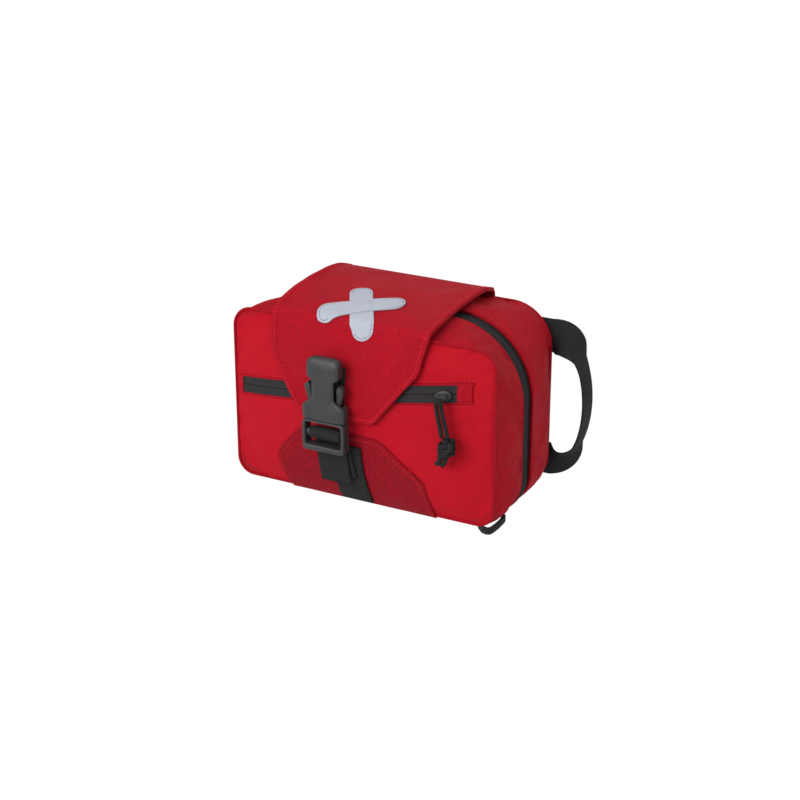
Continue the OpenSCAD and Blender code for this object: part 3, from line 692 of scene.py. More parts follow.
# %% [markdown]
# ## Face panels
# The panels are drawn as rings that shrink towards the middle. The front one has soft
# pulls: a groove beside the zip's end, slack folds beside the flap, and dents where the
# wing and the straps hold the cloth down.
# %% Panels
PANEL_S = np.array([1, 0.985, 0.965, 0.94, 0.91, 0.875, 0.835, 0.79, 0.74, 0.685, 0.625, 0.56, 0.49, 0.42,
                    0.35, 0.28, 0.21, 0.14, 0.07])
POCKET_X0, POCKET_X1, POCKET_Z0, POCKET_Z1 = -95.0, 77.0, 75.0, 100.5


def pocket_z(x):
    """Height of the pocket zip's middle line at x."""
    return POCKET_Z0 + (POCKET_Z1 - POCKET_Z0) * (x - POCKET_X0) / (POCKET_X1 - POCKET_X0)


def ridge(x, z, a, b, width, height):
    """A soft fold along the line from a to b: a bell curve across it, faded at its ends."""
    a, b = np.array(a, float), np.array(b, float)
    d = b - a
    t = ((x - a[0]) * d[0] + (z - a[1]) * d[1]) / (d @ d)
    away = np.abs((x - a[0]) * d[1] - (z - a[1]) * d[0]) / np.sqrt(d @ d)
    ends = np.clip(t * 4, 0, 1) * np.clip((1 - t) * 4, 0, 1)
    return height * np.exp(-(away / width) ** 2) * ends


def folded(x, z, folds):
    """The sum of several folds, each given by its two ends, its width and its height."""
    return sum(ridge(x, z, *fold) for fold in folds)


FRONT_FOLDS = (
    ((89, 84), (84, 40), 2.6, -1.0), ((92, 82), (60, 70), 2.2, -0.8), ((-60, 118), (-94, 104), 5.0, 1.3),
    ((-62, 108), (-92, 86), 3.6, -0.9), ((-66, 128), (-90, 124), 3.0, -0.9), ((-70, 66), (-92, 30), 6.0, 0.8),
    ((62, 124), (86, 112), 3.4, 0.9), ((56, 112), (84, 108), 2.4, -0.7), ((66, 62), (90, 20), 7.0, 0.8),
    ((-90, 60), (-64, 56), 3.0, -0.6))
BACK_FOLDS = (((-2, 8), (2, 130), 3.0, -1.0), ((-88, 60), (88, 66), 4.0, -0.8),
              ((-80, 20), (-64, 50), 5.0, 0.8), ((70, 96), (88, 60), 5.0, 0.8))


def seam_share(x, z):
    """Zero on the panel's seam and one well inside it."""
    return np.clip(6 * swell(x, z), 0, 1)


def panel_grid(side, inset, folds=()):
    """The seam's section scaled towards the middle, each ring standing out by the swell
    and by the cloth's folds, which fade towards the seam."""
    seam = bag_ring(1.0, side, inset)
    rows = []
    for s in PANEL_S:
        x, z = seam[:, 0] * s, MIDDLE_Z + (seam[:, 1] - MIDDLE_Z) * s
        y = (front_y if side < 0 else back_y)(x, z) - side * inset
        y = y + side * folded(x, z, folds) * seam_share(x, z)
        rows.append(np.stack([x, y, z], 1))
    return np.array(rows)


def strip_share(x, z):
    """Zero under the pocket zip and one away from it."""
    return np.clip((np.abs(z - pocket_z(x)) - 6) / 8, 0.12, 1)


def face_panel(name, side, body, material, folds):
    """A panel's cloth: inflated outside, plain inside, closed at its rim and its middle."""
    outer, inner = panel_grid(side, 0.0, folds), panel_grid(side, SHELL)
    pins = np.zeros(outer.shape[:2])
    pins[0] = 1
    cap = 1.4 * (strip_share(outer[..., 0], outer[..., 2]) if side < 0 else np.ones(outer.shape[:2]))
    cap[0] = 0
    outer = inflate(name + "_cloth", outer, True, pins, cap)
    both = np.concatenate([outer[::-1], inner])
    flat = np.concatenate([both, both[:, :1]], axis=1)[..., [0, 2]] * MM
    panel = surface(name, both, uv=flat, wrap=True, ends="fan")
    dress(panel, body, material, levels=1)


face_panel("front_pocket_panel", -1, "front_half", smooth_red, FRONT_FOLDS)
face_panel("back_panel", 1, "back_half", red_cloth, BACK_FOLDS)


def lining(name, side, body):
    """The thin inner cloth of a half: wall and panel in one, from the rim to the middle."""
    outer = np.concatenate([wall_grid(side, SHELL + 0.1)[:-1], panel_grid(side, SHELL + 0.1)])
    inner = np.concatenate([wall_grid(side, LINING)[:-1], panel_grid(side, LINING)])
    obj = surface(name, np.concatenate([outer[::-1], inner]), wrap=True, ends="fan")
    dress(obj, body, lining_cloth)
    return obj


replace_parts(lining("front_lining", -1, "front_half"), "front_shell")
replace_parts(lining("back_lining", 1, "back_half"), "back_shell")
print("panels and linings made")

# %% [markdown]
# ## Seams
# Where a panel meets a wall the cloth is turned in and sewn, and leaves a narrow raised
# welt. A second line of stitches holds the wall beside the zip tape. Both follow the bag's
# own sections, so they can't drift off the cloth.
# %% Welts and seam stitches
def along_section(q, side, lift, lowest=-99):
    """Points and outward directions on the section at q, raised by lift, where they are
    higher than lowest."""
    p = bag_ring(q, side, -lift)
    p = np.roll(p, -(len(p) - FLAT // 2), axis=0)
    ok = p[:, 1] > lowest
    ahead = np.roll(p, -1, axis=0) - np.roll(p, 1, axis=0)
    out = unit(np.stack([ahead[:, 1], -ahead[:, 0]], 1))
    path = np.insert(p, 1, depth(q, side), axis=1)
    return path[ok], np.insert(out, 1, 0, axis=1)[ok]


def seam_welt(name, q, side, body, radius):
    """A soft tube round the whole section, made as a closed ring of small circles."""
    path, out = along_section(q, side, 0.0)
    angle = np.linspace(0, 2 * np.pi, 9)[:-1]
    ring_points = path[:, None] + radius * (np.cos(angle)[None, :, None] * out[:, None]
                                            + np.sin(angle)[None, :, None] * np.array([0, 1.3, 0]))
    ring_points = np.concatenate([ring_points, ring_points[:1]])
    obj = surface(name, ring_points, wrap=True)
    merge(obj)
    return dress(obj, body, red_cloth)


seam_welt("front_seam_welt", 0.995, -1, "front_half", 1.1)
seam_welt("back_seam_welt", 0.995, 1, "back_half", 1.1)
for side, half, body in ((-1, "front", "front_half"), (1, "back", "back_half")):
    reach = FRONT_DEPTH if side < 0 else BACK_DEPTH
    seam_welt(half + "_zip_welt", 8.2 / reach, side, body, 0.8)
    path, out = along_section(11.4 / reach, side, 0.75, lowest=9)
    sew(half + "_zip_stitches", path, out, body, red_thread, "red_nylon")
print("seams made")

# %% [markdown]
# ## The main zip
# Two tapes run in an arch from one bottom corner over the top to the other. The coil is on
# the inside, so from outside a reverse-coil zip is a plain dark band with a fine line down
# its middle. The coil itself is a few hundred small bent links under the tapes.
# %% Zip tapes and coil
ZIP_W, ZIP_LOW, ZIP_TOP, ZIP_FOOT, ZIP_R_HIGH, ZIP_R_LOW = 105.3, -2.2, 136.5, 5.0, 54.8, 25.8


def zip_line(inset):
    """The zip's arch as x, z points from the right foot over the top to the left foot."""
    arch = lambda cut: ring(ZIP_W - cut, ZIP_LOW + cut, ZIP_TOP - cut, ZIP_R_HIGH - cut, ZIP_R_LOW - cut)
    return arch(inset)[arch(0)[:, 1] > ZIP_FOOT - 1.5]


def zip_tape(name, side):
    """A thin curved tape: flat across, with a raised bead at the middle and a sunk line."""
    across = np.array([0.15, 0.5, 1.0, 1.6, 2.2, 3.2, 4.6, 6.0, 7.4])
    rise = np.array([-0.35, 0.15, 0.4, 0.4, 0.1, 0.0, 0.0, 0.0, 0.0])
    line, deep = zip_line(0.0), zip_line(1.2)
    out = unit(line - deep)
    over = np.stack([np.insert(line + out * r, 1, side * y, axis=1) for y, r in zip(across, rise)], 1)
    under = np.stack([np.insert(deep, 1, side * y, axis=1) for y in across], 1)
    run = run_along(line)
    uv = np.stack(np.meshgrid(across, run), 2) * MM
    return slab(name, under, over, uv=uv, bevel=0)


def coil(name, side, body, pitch=1.5):
    """Links of a coil under the tape: small six-sided spindles across the zip's middle."""
    line = zip_line(1.9)
    run = run_along(line)
    at = np.arange(2, run[-1] - 2, pitch) + (0 if side < 0 else pitch / 2)
    x, z = np.interp(at, run, line[:, 0]), np.interp(at, run, line[:, 1])
    a, b = [np.stack([x, 0 * x + side * far, z], 1) for far in (0.2, 3.2)]
    angle = np.linspace(0, 2 * np.pi, 6, endpoint=False)
    circle = np.stack([0.5 * np.cos(angle), 0 * angle, 0.5 * np.sin(angle)], 1)
    verts = np.stack([a[:, None] + circle, b[:, None] + circle], 1)
    k = np.arange(6)
    quads = np.stack([k, (k + 1) % 6, 6 + (k + 1) % 6, 6 + k], 1)
    caps = np.stack([k[::-1], k + 6])
    base = np.arange(len(at))[:, None] * 12
    faces = (base[:, :, None] + quads[None]).reshape(-1, 4).tolist()
    faces += (base[:, :, None] + caps[None]).reshape(-1, 6).tolist()
    mesh = bpy.data.meshes.new(name)
    mesh.from_pydata((verts.reshape(-1, 3) * MM).tolist(), [], faces)
    obj = placed(name, mesh)
    merge(obj, 0.0001)
    return dress(obj, body, painted)


for side, half, body in ((-1, "front", "front_half"), (1, "back", "back_half")):
    dress(zip_tape(half + "_zip_band", side), body, zip_cloth, (half + "_zip_tape",))
    coil(half + "_zip_coil", side, body)
print("main zip made")

# %% [markdown]
# ## Front pocket zip
# The pocket zip climbs across the panel. Two tapes leave a thin line between them where
# the coil hides, and both ends disappear under turned-in cloth. Rows of stitches above and
# below hold it, so the zip, its end welt and its stitches all ride on the front half.
# %% Pocket zip
def on_front(x, z, lift):
    """Points lifted off the front panel's plain bulge, in millimetres."""
    return np.stack([x, front_y(x, z) - lift, z], -1)


def panel_strip(name, x0, x1, low, high, lift, thick, rise, cols=60):
    """A strip that follows the pocket zip from x0 to x1, between two heights above its
    middle line. rise adds height over the share of its width."""
    h = low + (high - low) * np.linspace(0, 1, len(rise))
    h, x = np.meshgrid(h, np.linspace(x0, x1, cols))
    z, uv = pocket_z(x) + h, np.stack([h, x], 2) * MM
    return slab(name, on_front(x, z, lift), on_front(x, z, lift + thick + np.array(rise)), uv=uv, bevel=0.2)


for label, low, high in (("upper", 0.15, 6.0), ("lower", -6.0, -0.15)):
    bead = [0, 0.45, 0.5, 0.5, 0.1, 0, 0.25, 0, 0, 0.1, 0]
    bead = bead if label == "upper" else bead[::-1]
    tape = panel_strip("pocket_zip_" + label + "_tape", -95, 77.2, low, high, 0.35, 0.8, bead)
    dress(tape, "front_half", zip_cloth, ("pocket_zip_tape",))
stop = panel_strip("pocket_zip_end_welt", 77.0, 87, -6.6, 6.6, 0.2, 1.0, [0, 0.35, 0.5, 0.5, 0.35, 0],
                   cols=12)
dress(stop, "front_half", red_cloth, ("pocket_zip_stop",))
stop = panel_strip("pocket_zip_left_welt", -96.4, -93.2, -6.6, 6.6, 0.2, 1.5, [0, 0.5, 0.6, 0.6, 0.5, 0],
                   cols=6)
dress(stop, "front_half", red_cloth)
for label, height in (("upper", 6.6), ("lower", -6.8)):
    lip = panel_strip("pocket_lip_" + label, -95, 88, height - 0.9, height + 0.9, 0.1, 0.5,
                      [0, 0.8, 1.1, 0.8, 0])
    dress(lip, "front_half", red_cloth)
    x = np.linspace(-93, 88, 80)
    high = height + np.sign(height) * 1.9
    row = on_front(x, pocket_z(x) + high, 0.75)
    sew("pocket_stitches_" + label, row, (0, -1, 0.1), "front_half", red_thread, "red_nylon")
z = np.linspace(-5.5, 5.5, 12) + pocket_z(79.4)
row = on_front(np.full(12, 79.4), z, 1.9)
sew("pocket_end_stitches", row, (0, -1, 0), "front_half", red_thread, "red_nylon")
print("pocket zip made")

# %% [markdown]
# ## Lower wing, strap and base loop
# A wing of darker cloth is sewn on below the buckle and carries the lower strap. Its free
# edges are folded twice, so they are thicker and have a stitch line inside them.
# %% Lower wing
WING = np.array([[3.0, -55.5, 59.6], [6, -57, 59], [14, -59, 57.5], [24, -62, 55.5], [31, -62.5, 54],
                 [38, -58, 47], [48, -49, 34], [56, -42, 24], [58.5, -38, 18]])
HEM = 3.4


def edge_hem(x, left, right, ends, high=0.6):
    """Extra thickness within HEM of a free edge, with a soft step: used for folded hems."""
    near = np.minimum(np.minimum(x - left, right - x), ends)
    return high * np.clip((HEM + 0.5 - near) / 0.9, 0, 1)


WING_FOLDS = (((16, 56), (44, 30), 3.0, 0.7), ((-20, 52), (-56, 30), 4.0, 0.6),
              ((20, 40), (50, 14), 4.0, -0.5), ((14, 20), (50, 6), 3.0, 0.5))


def wing_grid():
    """The wing's rows drawn out evenly, with folds under the strap and towards its corner."""
    z = np.concatenate([np.linspace(3, 31, 26), np.linspace(31, 58.5, 26)[1:]])
    left, right = np.interp(z, WING[:, 0], WING[:, 1]), np.interp(z, WING[:, 0], WING[:, 2])
    t = np.linspace(0, 1, 61)
    x = left[:, None] + (right - left)[:, None] * t
    zz = np.broadcast_to(z[:, None], x.shape)
    hem = edge_hem(x, left[:, None], right[:, None], 58.5 - zz)
    low = np.clip((zz - 3) / 3, 0.35, 1)
    folds = folded(x, zz, WING_FOLDS) + 0.25 * np.sin(x / 5 + zz / 7) * np.sin(zz / 9 - x / 17)
    return x, zz, low * (1.8 + hem + np.maximum(folds, -0.6))


x, z, thick = wing_grid()
wing = slab("lower_wing_cloth", on_front(x, z, 0.1), on_front(x, z, 0.3 + thick),
            uv=np.stack([x, z], 2) * MM)
dress(wing, "front_half", wing_red, ("lower_wing",), levels=1)
cut_sheet(wing, on_front(x, z, 0.3))
right_edge = np.array([[57.0, 3.5], [56.0, 8], [54.4, 16], [52.6, 24], [50.6, 30.2], [44.3, 36.6],
                       [31.6, 46.2], [21.6, 54.0], [16, 55.4], [2, 55.4], [-18, 55.4], [-37, 55.4]])
left_edge = np.array([[-37, 55.4], [-46, 46.4], [-54.6, 37.4], [-58.8, 30.6], [-58.6, 24], [-55.6, 14],
                      [-53.6, 6]])
for label, edge in (("right", right_edge), ("left", left_edge)):
    edge = refine(edge, 6)
    row = on_front(edge[:, 0], edge[:, 1], 2.75)
    sew("wing_stitches_" + label, row, (0, -1, 0.1), "front_half", red_thread, "dark_red_nylon")
print("wing made")


# %% Lower strap and base loop
def strap_over(z_rows, x, lift):
    """A path down the front at one x, lifted off the panel."""
    z = np.asarray(z_rows, float)
    return on_front(np.full(len(z), float(x)), z, lift)


STRAP_X, BUCKLE_X = -2.0, -14.0
path = strap_over(np.linspace(50, 5.5, 30), STRAP_X, 3.3)
path[:, 0] += np.linspace(-3, 1, 30)
strap = ribbon("lower_strap_webbing", path, (1, 0, 0), 12.5, 0.85)
dress(strap, "front_half", webbing_cloth, ("lower_strap",))
row = strap_over(np.linspace(6, 49, 20), STRAP_X, 4.25)
for label, offset in (("left", -11.3), ("right", 11.3)):
    line = row + np.array([offset, 0, 0])
    line[:, 0] += np.linspace(1, -3, 20)
    sew("lower_strap_stitches_" + label, line, (0, -1, 0), "front_half", black_thread, "webbing")
loop_path = refine(np.array([[89.5, -35.5, 2.6], [94.8, -40.6, 2.6], [99.4, -40.6, 2.6], [100.6, -34, 2.6],
                             [100.6, -26, 2.6], [99.9, -18, 2.6], [97.0, -15.6, 2.6]]), 6)
loop = ribbon("base_loop_webbing", loop_path, (0, 0, 1), 2.6, 1.1)
dress(loop, "front_half", webbing_cloth, ("base_lash_loop",))
print("straps made")

# %% [markdown]
# ## Top flap
# The flap is one thick sheet. It starts behind the zip, goes over the top and down the
# front, and narrows to a blunt point under the buckle. Its path is a smooth curve through
# a few stations, and each station says how far it reaches left and right.
# %% Flap surface
# Each station of the top is y, z, left edge and right edge, and each of the front is z, left
# edge, right edge and air gap.
FLAP_TOP = np.array([[57.6, 137.1, -66, 53], [50, 139.8, -66, 54], [38, 142.6, -66, 55],
                     [18, 143.4, -66, 56], [-2, 142.8, -66.5, 56.5], [-20, 140.9, -67, 56.5],
                     [-34, 138.2, -67, 56], [-42, 135.4, -67, 55]])
FLAP_FRONT = np.array([[131, -66.5, 54.5, 4.2], [121, -65, 52.5, 3.6], [110, -63.5, 50, 3],
                       [98, -57, 40.5, 3], [86, -50, 31, 3], [76, -44, 23, 3], [72, -41, 19.5, 3],
                       [70, -38, 16, 3]])
FLAP_FOLDS = (((-64, 62), (-30, 96), 5, 0.9), ((-66, 84), (-40, 120), 4, -0.7),
              ((-60, 40), (-52, 112), 4, 0.6),
              ((50, 90), (18, 150), 5, 0.8), ((40, 96), (8, 160), 4, -0.6), ((56, 20), (20, 60), 7, 0.7),
              ((-10, 10), (40, 16), 6, 0.6), ((-50, 8), (-10, 30), 6, -0.5))
FLAP_THICK = 2.2
FLAP_COLS = 81


def flap_grid():
    """The flap's underside: every column runs through the stations of the top, whose y and
    z are the same for all x, then down the front panel's own bulge with an air gap."""
    t = np.linspace(0, 1, FLAP_COLS)
    top_x = FLAP_TOP[:, 2:3] + (FLAP_TOP[:, 3:4] - FLAP_TOP[:, 2:3]) * t
    top_y, top_z = [np.repeat(FLAP_TOP[:, k:k + 1], FLAP_COLS, 1) for k in (0, 1)]
    top = np.stack([top_x, top_y, top_z], 2)
    front_x = FLAP_FRONT[:, 1:2] + (FLAP_FRONT[:, 2:3] - FLAP_FRONT[:, 1:2]) * t
    z = np.repeat(FLAP_FRONT[:, :1], FLAP_COLS, 1)
    front = np.stack([front_x, front_y(front_x, z) - FLAP_FRONT[:, 3:4], z], 2)
    return refine(np.concatenate([top, front]), 8)


def grid_normals(g):
    """Cross product of the two directions of a grid, as unit vectors."""
    return unit(np.cross(np.gradient(g, axis=0), np.gradient(g, axis=1)))


def flap_relief(g):
    """Thickness over the cloth: folded hems at the free edges, and soft tension folds."""
    x, z = g[..., 0], g[..., 2]
    left, right = g[:, :1, 0], g[:, -1:, 0]
    hem = edge_hem(x, left, right, np.broadcast_to(z[:, :1], z.shape) - 70, 0.7)
    s = flap_run()[:, None]
    folds = folded(x, s, FLAP_FOLDS) + 0.22 * np.sin(x / 6.1 + s / 9) * np.sin(s / 5.3 - x / 15)
    return hem + np.clip(folds, -0.7, 1.2) * np.clip(s / 14, 0, 1)


under = flap_grid()
normal = grid_normals(under)


def flap_run():
    """Running length down the middle of the flap, from the hinge."""
    return run_along(under[:, FLAP_COLS // 2])


over = under + normal * (FLAP_THICK + flap_relief(under))[..., None]
flap_uv = np.stack([under[..., 0], np.broadcast_to(flap_run()[:, None], under.shape[:2])], 2) * MM
flap = dress(slab("top_flap_cloth", under, over, uv=flap_uv, bevel=0.5), "flap", red_cloth,
             ("top_flap",))
cut_sheet(flap, under)


# %% Flap stitches and a point on the flap
def on_flap(x, s, lift):
    """The place on the flap's outer side at x and running length s, raised by lift."""
    run = flap_run()
    row = np.interp(s, run, np.arange(len(run)))
    r0 = np.clip(np.floor(row).astype(int), 0, len(run) - 2)
    f = (row - r0)[..., None]
    left = under[r0, 0, 0] * (1 - f[..., 0]) + under[r0 + 1, 0, 0] * f[..., 0]
    right = under[r0, -1, 0] * (1 - f[..., 0]) + under[r0 + 1, -1, 0] * f[..., 0]
    col = np.clip((x - left) / (right - left), 0, 1) * (FLAP_COLS - 1)
    c0 = np.clip(np.floor(col).astype(int), 0, FLAP_COLS - 2)
    e = (col - c0)[..., None]
    mix = lambda a: ((a[r0, c0] * (1 - e) + a[r0, c0 + 1] * e) * (1 - f)
                     + (a[r0 + 1, c0] * (1 - e) + a[r0 + 1, c0 + 1] * e) * f)
    n = unit(mix(normal))
    return mix(over) + n * np.asarray(lift, float)[..., None], n


run = flap_run()
INSIDE = 2.9
s = np.arange(10, run[-1] - INSIDE, 1.5)
left_x = np.interp(s, run, under[:, 0, 0]) + INSIDE
right_x = np.interp(s, run, under[:, -1, 0]) - INSIDE
tip = np.linspace(left_x[-1], right_x[-1], 20)
for label, xs, ss in (("left", left_x, s), ("right", right_x, s),
                      ("tip", tip, np.full(20, run[-1] - INSIDE))):
    row, n = on_flap(xs, ss, np.full(len(xs), 0.1))
    sew("flap_stitches_" + label, row, n, "flap", red_thread, "red_nylon")
print("flap stitches made")

# %% [markdown]
# ## Emblem
# A plain sign says first aid: two sticking-plaster strips, crossed. Each strip is a thin
# patch of reflective cloth with round ends, laid on the flap's own curve, with a raised pad
# in the middle and a stitch line round its edge.
# %% Crossed strips
EMBLEM_X, EMBLEM_S, STRIP_LENGTH, STRIP_HALF = -6.0, 86.0, 60.0, 8.0


def strip_place(a, b, turn):
    """Strip lengths a and widths b, turned by an angle, as x and running length."""
    return (EMBLEM_X + a * np.cos(turn) - b * np.sin(turn), EMBLEM_S + a * np.sin(turn) + b * np.cos(turn))


def plaster(name, turn, lift):
    """A strip with round ends: its half width follows a circle in the last STRIP_HALF."""
    a = np.sin(np.linspace(-np.pi / 2, np.pi / 2, 61)) * STRIP_LENGTH / 2
    into = np.clip((np.abs(a) - (STRIP_LENGTH / 2 - STRIP_HALF)) / STRIP_HALF, 0, 1)
    half = STRIP_HALF * np.sqrt(np.clip(1 - into**2, 0.003, 1))
    b = half[:, None] * np.linspace(-1, 1, 17)
    aa = np.broadcast_to(a[:, None], b.shape)
    pad = 0.45 * np.clip((7.2 - np.abs(aa)) / 1.2, 0, 1) * np.clip((5.6 - np.abs(b)) / 1.0, 0, 1)
    x, s = strip_place(aa, b, turn)
    top, _ = on_flap(x, s, lift + 0.6 + pad)
    low, _ = on_flap(x, s, np.full(x.shape, lift - 0.4))
    uv = np.stack([aa, b], 2) * MM
    obj = slab(name, low, top, uv=uv, bevel=0.2)
    t = np.linspace(0, 2 * np.pi, 120)
    cos, sin = np.cos(t), np.sin(t)
    edge_a = np.sign(cos) * (STRIP_LENGTH / 2 - STRIP_HALF) + (STRIP_HALF - 1.5) * cos
    x, s = strip_place(edge_a, (STRIP_HALF - 1.5) * sin, turn)
    row, n = on_flap(x, s, np.full(120, lift + 0.65))
    thread = stitches(name + "_stitches", row, n, pitch=2.4, length=1.4, radius=0.26)
    return obj, thread


for number, (turn, lift) in enumerate(((np.radians(60), 0.0), (np.radians(-30), 0.75))):
    strip, thread = plaster("emblem_strip_" + "ab"[number], turn, lift)
    dress(strip, "flap", patch_cloth, ("flap_emblem",))
    dress(thread, "flap", grey_thread)
print("emblem made")

# %% [markdown]
# ## The buckle
# The side-release buckle has a socket on the flap and a plug on the strap. The socket is
# moulded as a domed shell: wide at the mouth, waisted where the prongs show at its sides,
# and shouldered above them. It is lofted solid, then hollowed for the prongs.
# %% Buckle socket
SOCKET_BACK = float(front_y(BUCKLE_X, MIDDLE_Z)) - 3 - FLAP_THICK - 1.6 - 1.1
SOCKET_FRONT = SOCKET_BACK - 10
BUCKLE_Y = (SOCKET_BACK + SOCKET_FRONT) / 2
SOCKET_LOW, SOCKET_HIGH, BUCKLE_HALF = 71.0, 116.0, 16.5


def ease(t):
    """A smooth step from zero to one: three t squared minus two t cubed."""
    t = np.clip(t, 0, 1)
    return t * t * (3 - 2 * t)


def beside_buckle(z):
    """Points at heights z on the buckle's own upright axis."""
    return np.stack([0 * z + BUCKLE_X, 0 * z + BUCKLE_Y, z], 1)


def rounded(t):
    """Falls from one to zero as a quarter circle while t goes from zero to one."""
    return np.sqrt(np.clip(1 - np.clip(t, 0, 1) ** 2, 0, 1))


def socket_half(z):
    """Half width of the socket at height z, with a rounded top."""
    w = BUCKLE_HALF - 7.7 * ease((z - SOCKET_LOW - 9) / 8) + 3.8 * ease((z - SOCKET_LOW - 28) / 4)
    return w - 5 * (1 - rounded((z - SOCKET_HIGH + 5) / 5))


def boolean(obj, cutter):
    """Cuts the cutter out of the object, and removes the cutter."""
    cut = obj.modifiers.new("cut", "BOOLEAN")
    cut.operation, cut.object, cut.solver = "DIFFERENCE", cutter, "EXACT"
    result = bpy.data.meshes.new_from_object(obj.evaluated_get(bpy.context.evaluated_depsgraph_get()))
    obj.modifiers.clear()
    obj.data = result
    bpy.data.objects.remove(cutter)
    return obj


def socket_body():
    """Superellipses up the buckle: half depth falls towards the top and the mouth's rim."""
    crown = SOCKET_HIGH - 4 * np.cos(np.linspace(0, 1.5, 9))[1:]
    z = np.concatenate([[71, 71.25, 71.8], np.linspace(72.6, 112, 60), crown])
    rim = 0.8 * (1 - rounded(SOCKET_LOW + 1 - z))
    top = 3.4 * (1 - rounded((z - 108) / 8.05))
    deep = 5.0 - rim - top + 0.25 * np.exp(-((z - 79) / 4) ** 2)
    half = np.maximum(socket_half(z) - rim, 2.5)
    shape = loft("buckle_socket_body", beside_buckle(z), half, deep, power=0.42, sides=56)
    channel = loft("channel", beside_buckle(np.array([69.0, 103.0])), 14.0, 3.0, power=0.3, sides=32)
    return boolean(shape, channel)


socket = socket_body()
socket.data.set_sharp_from_angle(angle=np.radians(42))
soften(socket, 0.3, 2, 40)
dress(socket, "flap", plastic, ("buckle_socket",))
for number, z in enumerate((104.0, 106.5, 109.0)):
    x = np.linspace(-7.5, 7.5, 14) + BUCKLE_X
    y = SOCKET_FRONT + 0.75 + number * 0.28
    rib = tube("grip_rib_" + "abc"[number], np.stack([x, 0 * x + y, 0 * x + z], 1), 0.55, 8, hint=(0, 0, 1))
    dress(rib, "flap", plastic)
print("socket faces", len(socket.data.polygons))

# %% [markdown]
# ## Plug and prongs
# The plug is a ladder: two rails, a round bar for the webbing and a thick lower lip. Two
# springy prongs reach up into the socket and end in barbs that your fingers squeeze.
# %% Plug
PLUG_HIGH, PLUG_LOW, BAR_Z, BAR_R = 70.6, 48.0, 60.5, 2.8


def loop_outline(half, low, high, r, count=22):
    """A rounded rectangle about the buckle's middle, as x, z points."""
    p = ring(half, low, high, r, r)
    run = ring_run(p)
    at = np.linspace(0, run[-1], 4 * count, endpoint=False)
    closed = np.concatenate([p, p[:1]])
    return np.stack([np.interp(at, run, closed[:, k]) for k in (0, 1)], 1)


def frame_between(name, outer, inner, half_y):
    """A moulded frame: at each step round it, a superellipse fills the space between the
    outer and the inner outline."""
    mid, reach = (outer + inner) / 2, (outer - inner) / 2
    a, b = superellipse(20, 0.4)
    xz = mid[:, None] + reach[:, None] * a[None, :, None]
    y = BUCKLE_Y + half_y[:, None] * b[None]
    grid = np.stack([xz[..., 0] + BUCKLE_X, y, xz[..., 1]], 2)
    obj = surface(name, np.concatenate([grid, grid[:1]]), wrap=True)
    merge(obj)
    return obj


outer = loop_outline(BUCKLE_HALF, PLUG_LOW, PLUG_HIGH, 3.0)
inner = loop_outline(BUCKLE_HALF - 2.7, PLUG_LOW + 4.4, PLUG_HIGH - 2.0, 1.2)
ladder = frame_between("buckle_plug_frame", outer, inner, 4.3 + 0.4 * (outer[:, 1] < 50.5))
x = np.linspace(-14.3, 14.3, 24)
bar = tube("bar", np.stack([x + BUCKLE_X, 0 * x + BUCKLE_Y, 0 * x + BAR_Z], 1), BAR_R, 18, hint=(0, 0, 1))
zt = np.concatenate([np.linspace(69.2, 92, 12), [93.2, 94.0, 94.4]])
guide = loft("guide", beside_buckle(zt), np.interp(zt, [69, 92, 93.2, 94, 94.4], [3.2, 2.8, 2.4, 1.6, 0.6]),
             1.6, sides=20)
neck = loft("neck", beside_buckle(np.linspace(69.0, 71.4, 6)), 11.6, 2.7, sides=32)
plug = join("buckle_plug_frame", [ladder, bar, guide, neck])
dress(plug, "plug", plastic, ("buckle_plug",))


def prong(side, name, body):
    """A springy arm: superellipses whose middle leans outwards towards the barb."""
    z0 = PLUG_HIGH + 1.7
    z = z0 + np.array([-1.4, -1.0, 0, 3, 6, 9, 11, 13, 15, 17, 19, 21, 22.4, 23.4, 24.2, 24.8, 25.1])
    stations = [-1.4, 0, 9, 13, 17, 21, 23, 25.1]
    inner_x = np.interp(z - z0, stations, [7.7, 7.0, 8.9, 9.2, 9.4, 9.6, 9.9, 11.2])
    outer_x = np.interp(z - z0, stations, [9.2, 9.9, 12.2, 13, 14.1, 15.2, 15.1, 12.4])
    centre = np.stack([BUCKLE_X + side * (inner_x + outer_x) / 2, 0 * z + BUCKLE_Y, z], 1)
    deep = 2.0 + 0.7 * ease((z - z0 - 17) / 3)
    wide = refine(((outer_x - inner_x) / 2)[:, None], 3)[:, 0]
    arm = loft(name, refine(centre, 3), wide, refine(deep[:, None], 3)[:, 0], power=0.6, sides=28)
    return dress(arm, body, plastic, (name.replace("_arm", ""),))


prong(-1, "buckle_prong_left_arm", "prong_left")
prong(1, "buckle_prong_right_arm", "prong_right")
print("plug and prongs made")

# %% [markdown]
# ## Webbing on the buckle
# Webbing is drawn as a ribbon along its own path: over the plug's bar and down behind its
# lower lip, where it hangs as two layers, because the end is turned back on itself.
# %% Strap tail and socket tab
WRAP_R, TAIL_Y = BAR_R + 0.8 + 0.15, SOCKET_BACK + 1.3
around = np.radians(np.arange(270, 30, -15))
wrap_path = np.stack([0 * around, BUCKLE_Y + WRAP_R * np.cos(around), BAR_Z + WRAP_R * np.sin(around)], 1)
hang = np.array([[0, TAIL_Y + 2.6, 22], [0, TAIL_Y + 1.3, 30], [0, TAIL_Y + 0.5, 38], [0, TAIL_Y, 46],
                 [0, TAIL_Y - 0.6, 52.0], [0, TAIL_Y - 2.2, 55.2]])
path = np.concatenate([refine(hang, 5)[:-1], wrap_path])
path[:, 0] = BUCKLE_X + 1 + 2.2 * np.clip((46 - path[:, 2]) / 24, 0, 1) * (path[:, 1] > BUCKLE_Y)
tail = ribbon("strap_tail_webbing", path, (1, 0, 0), 12.0, 0.8)
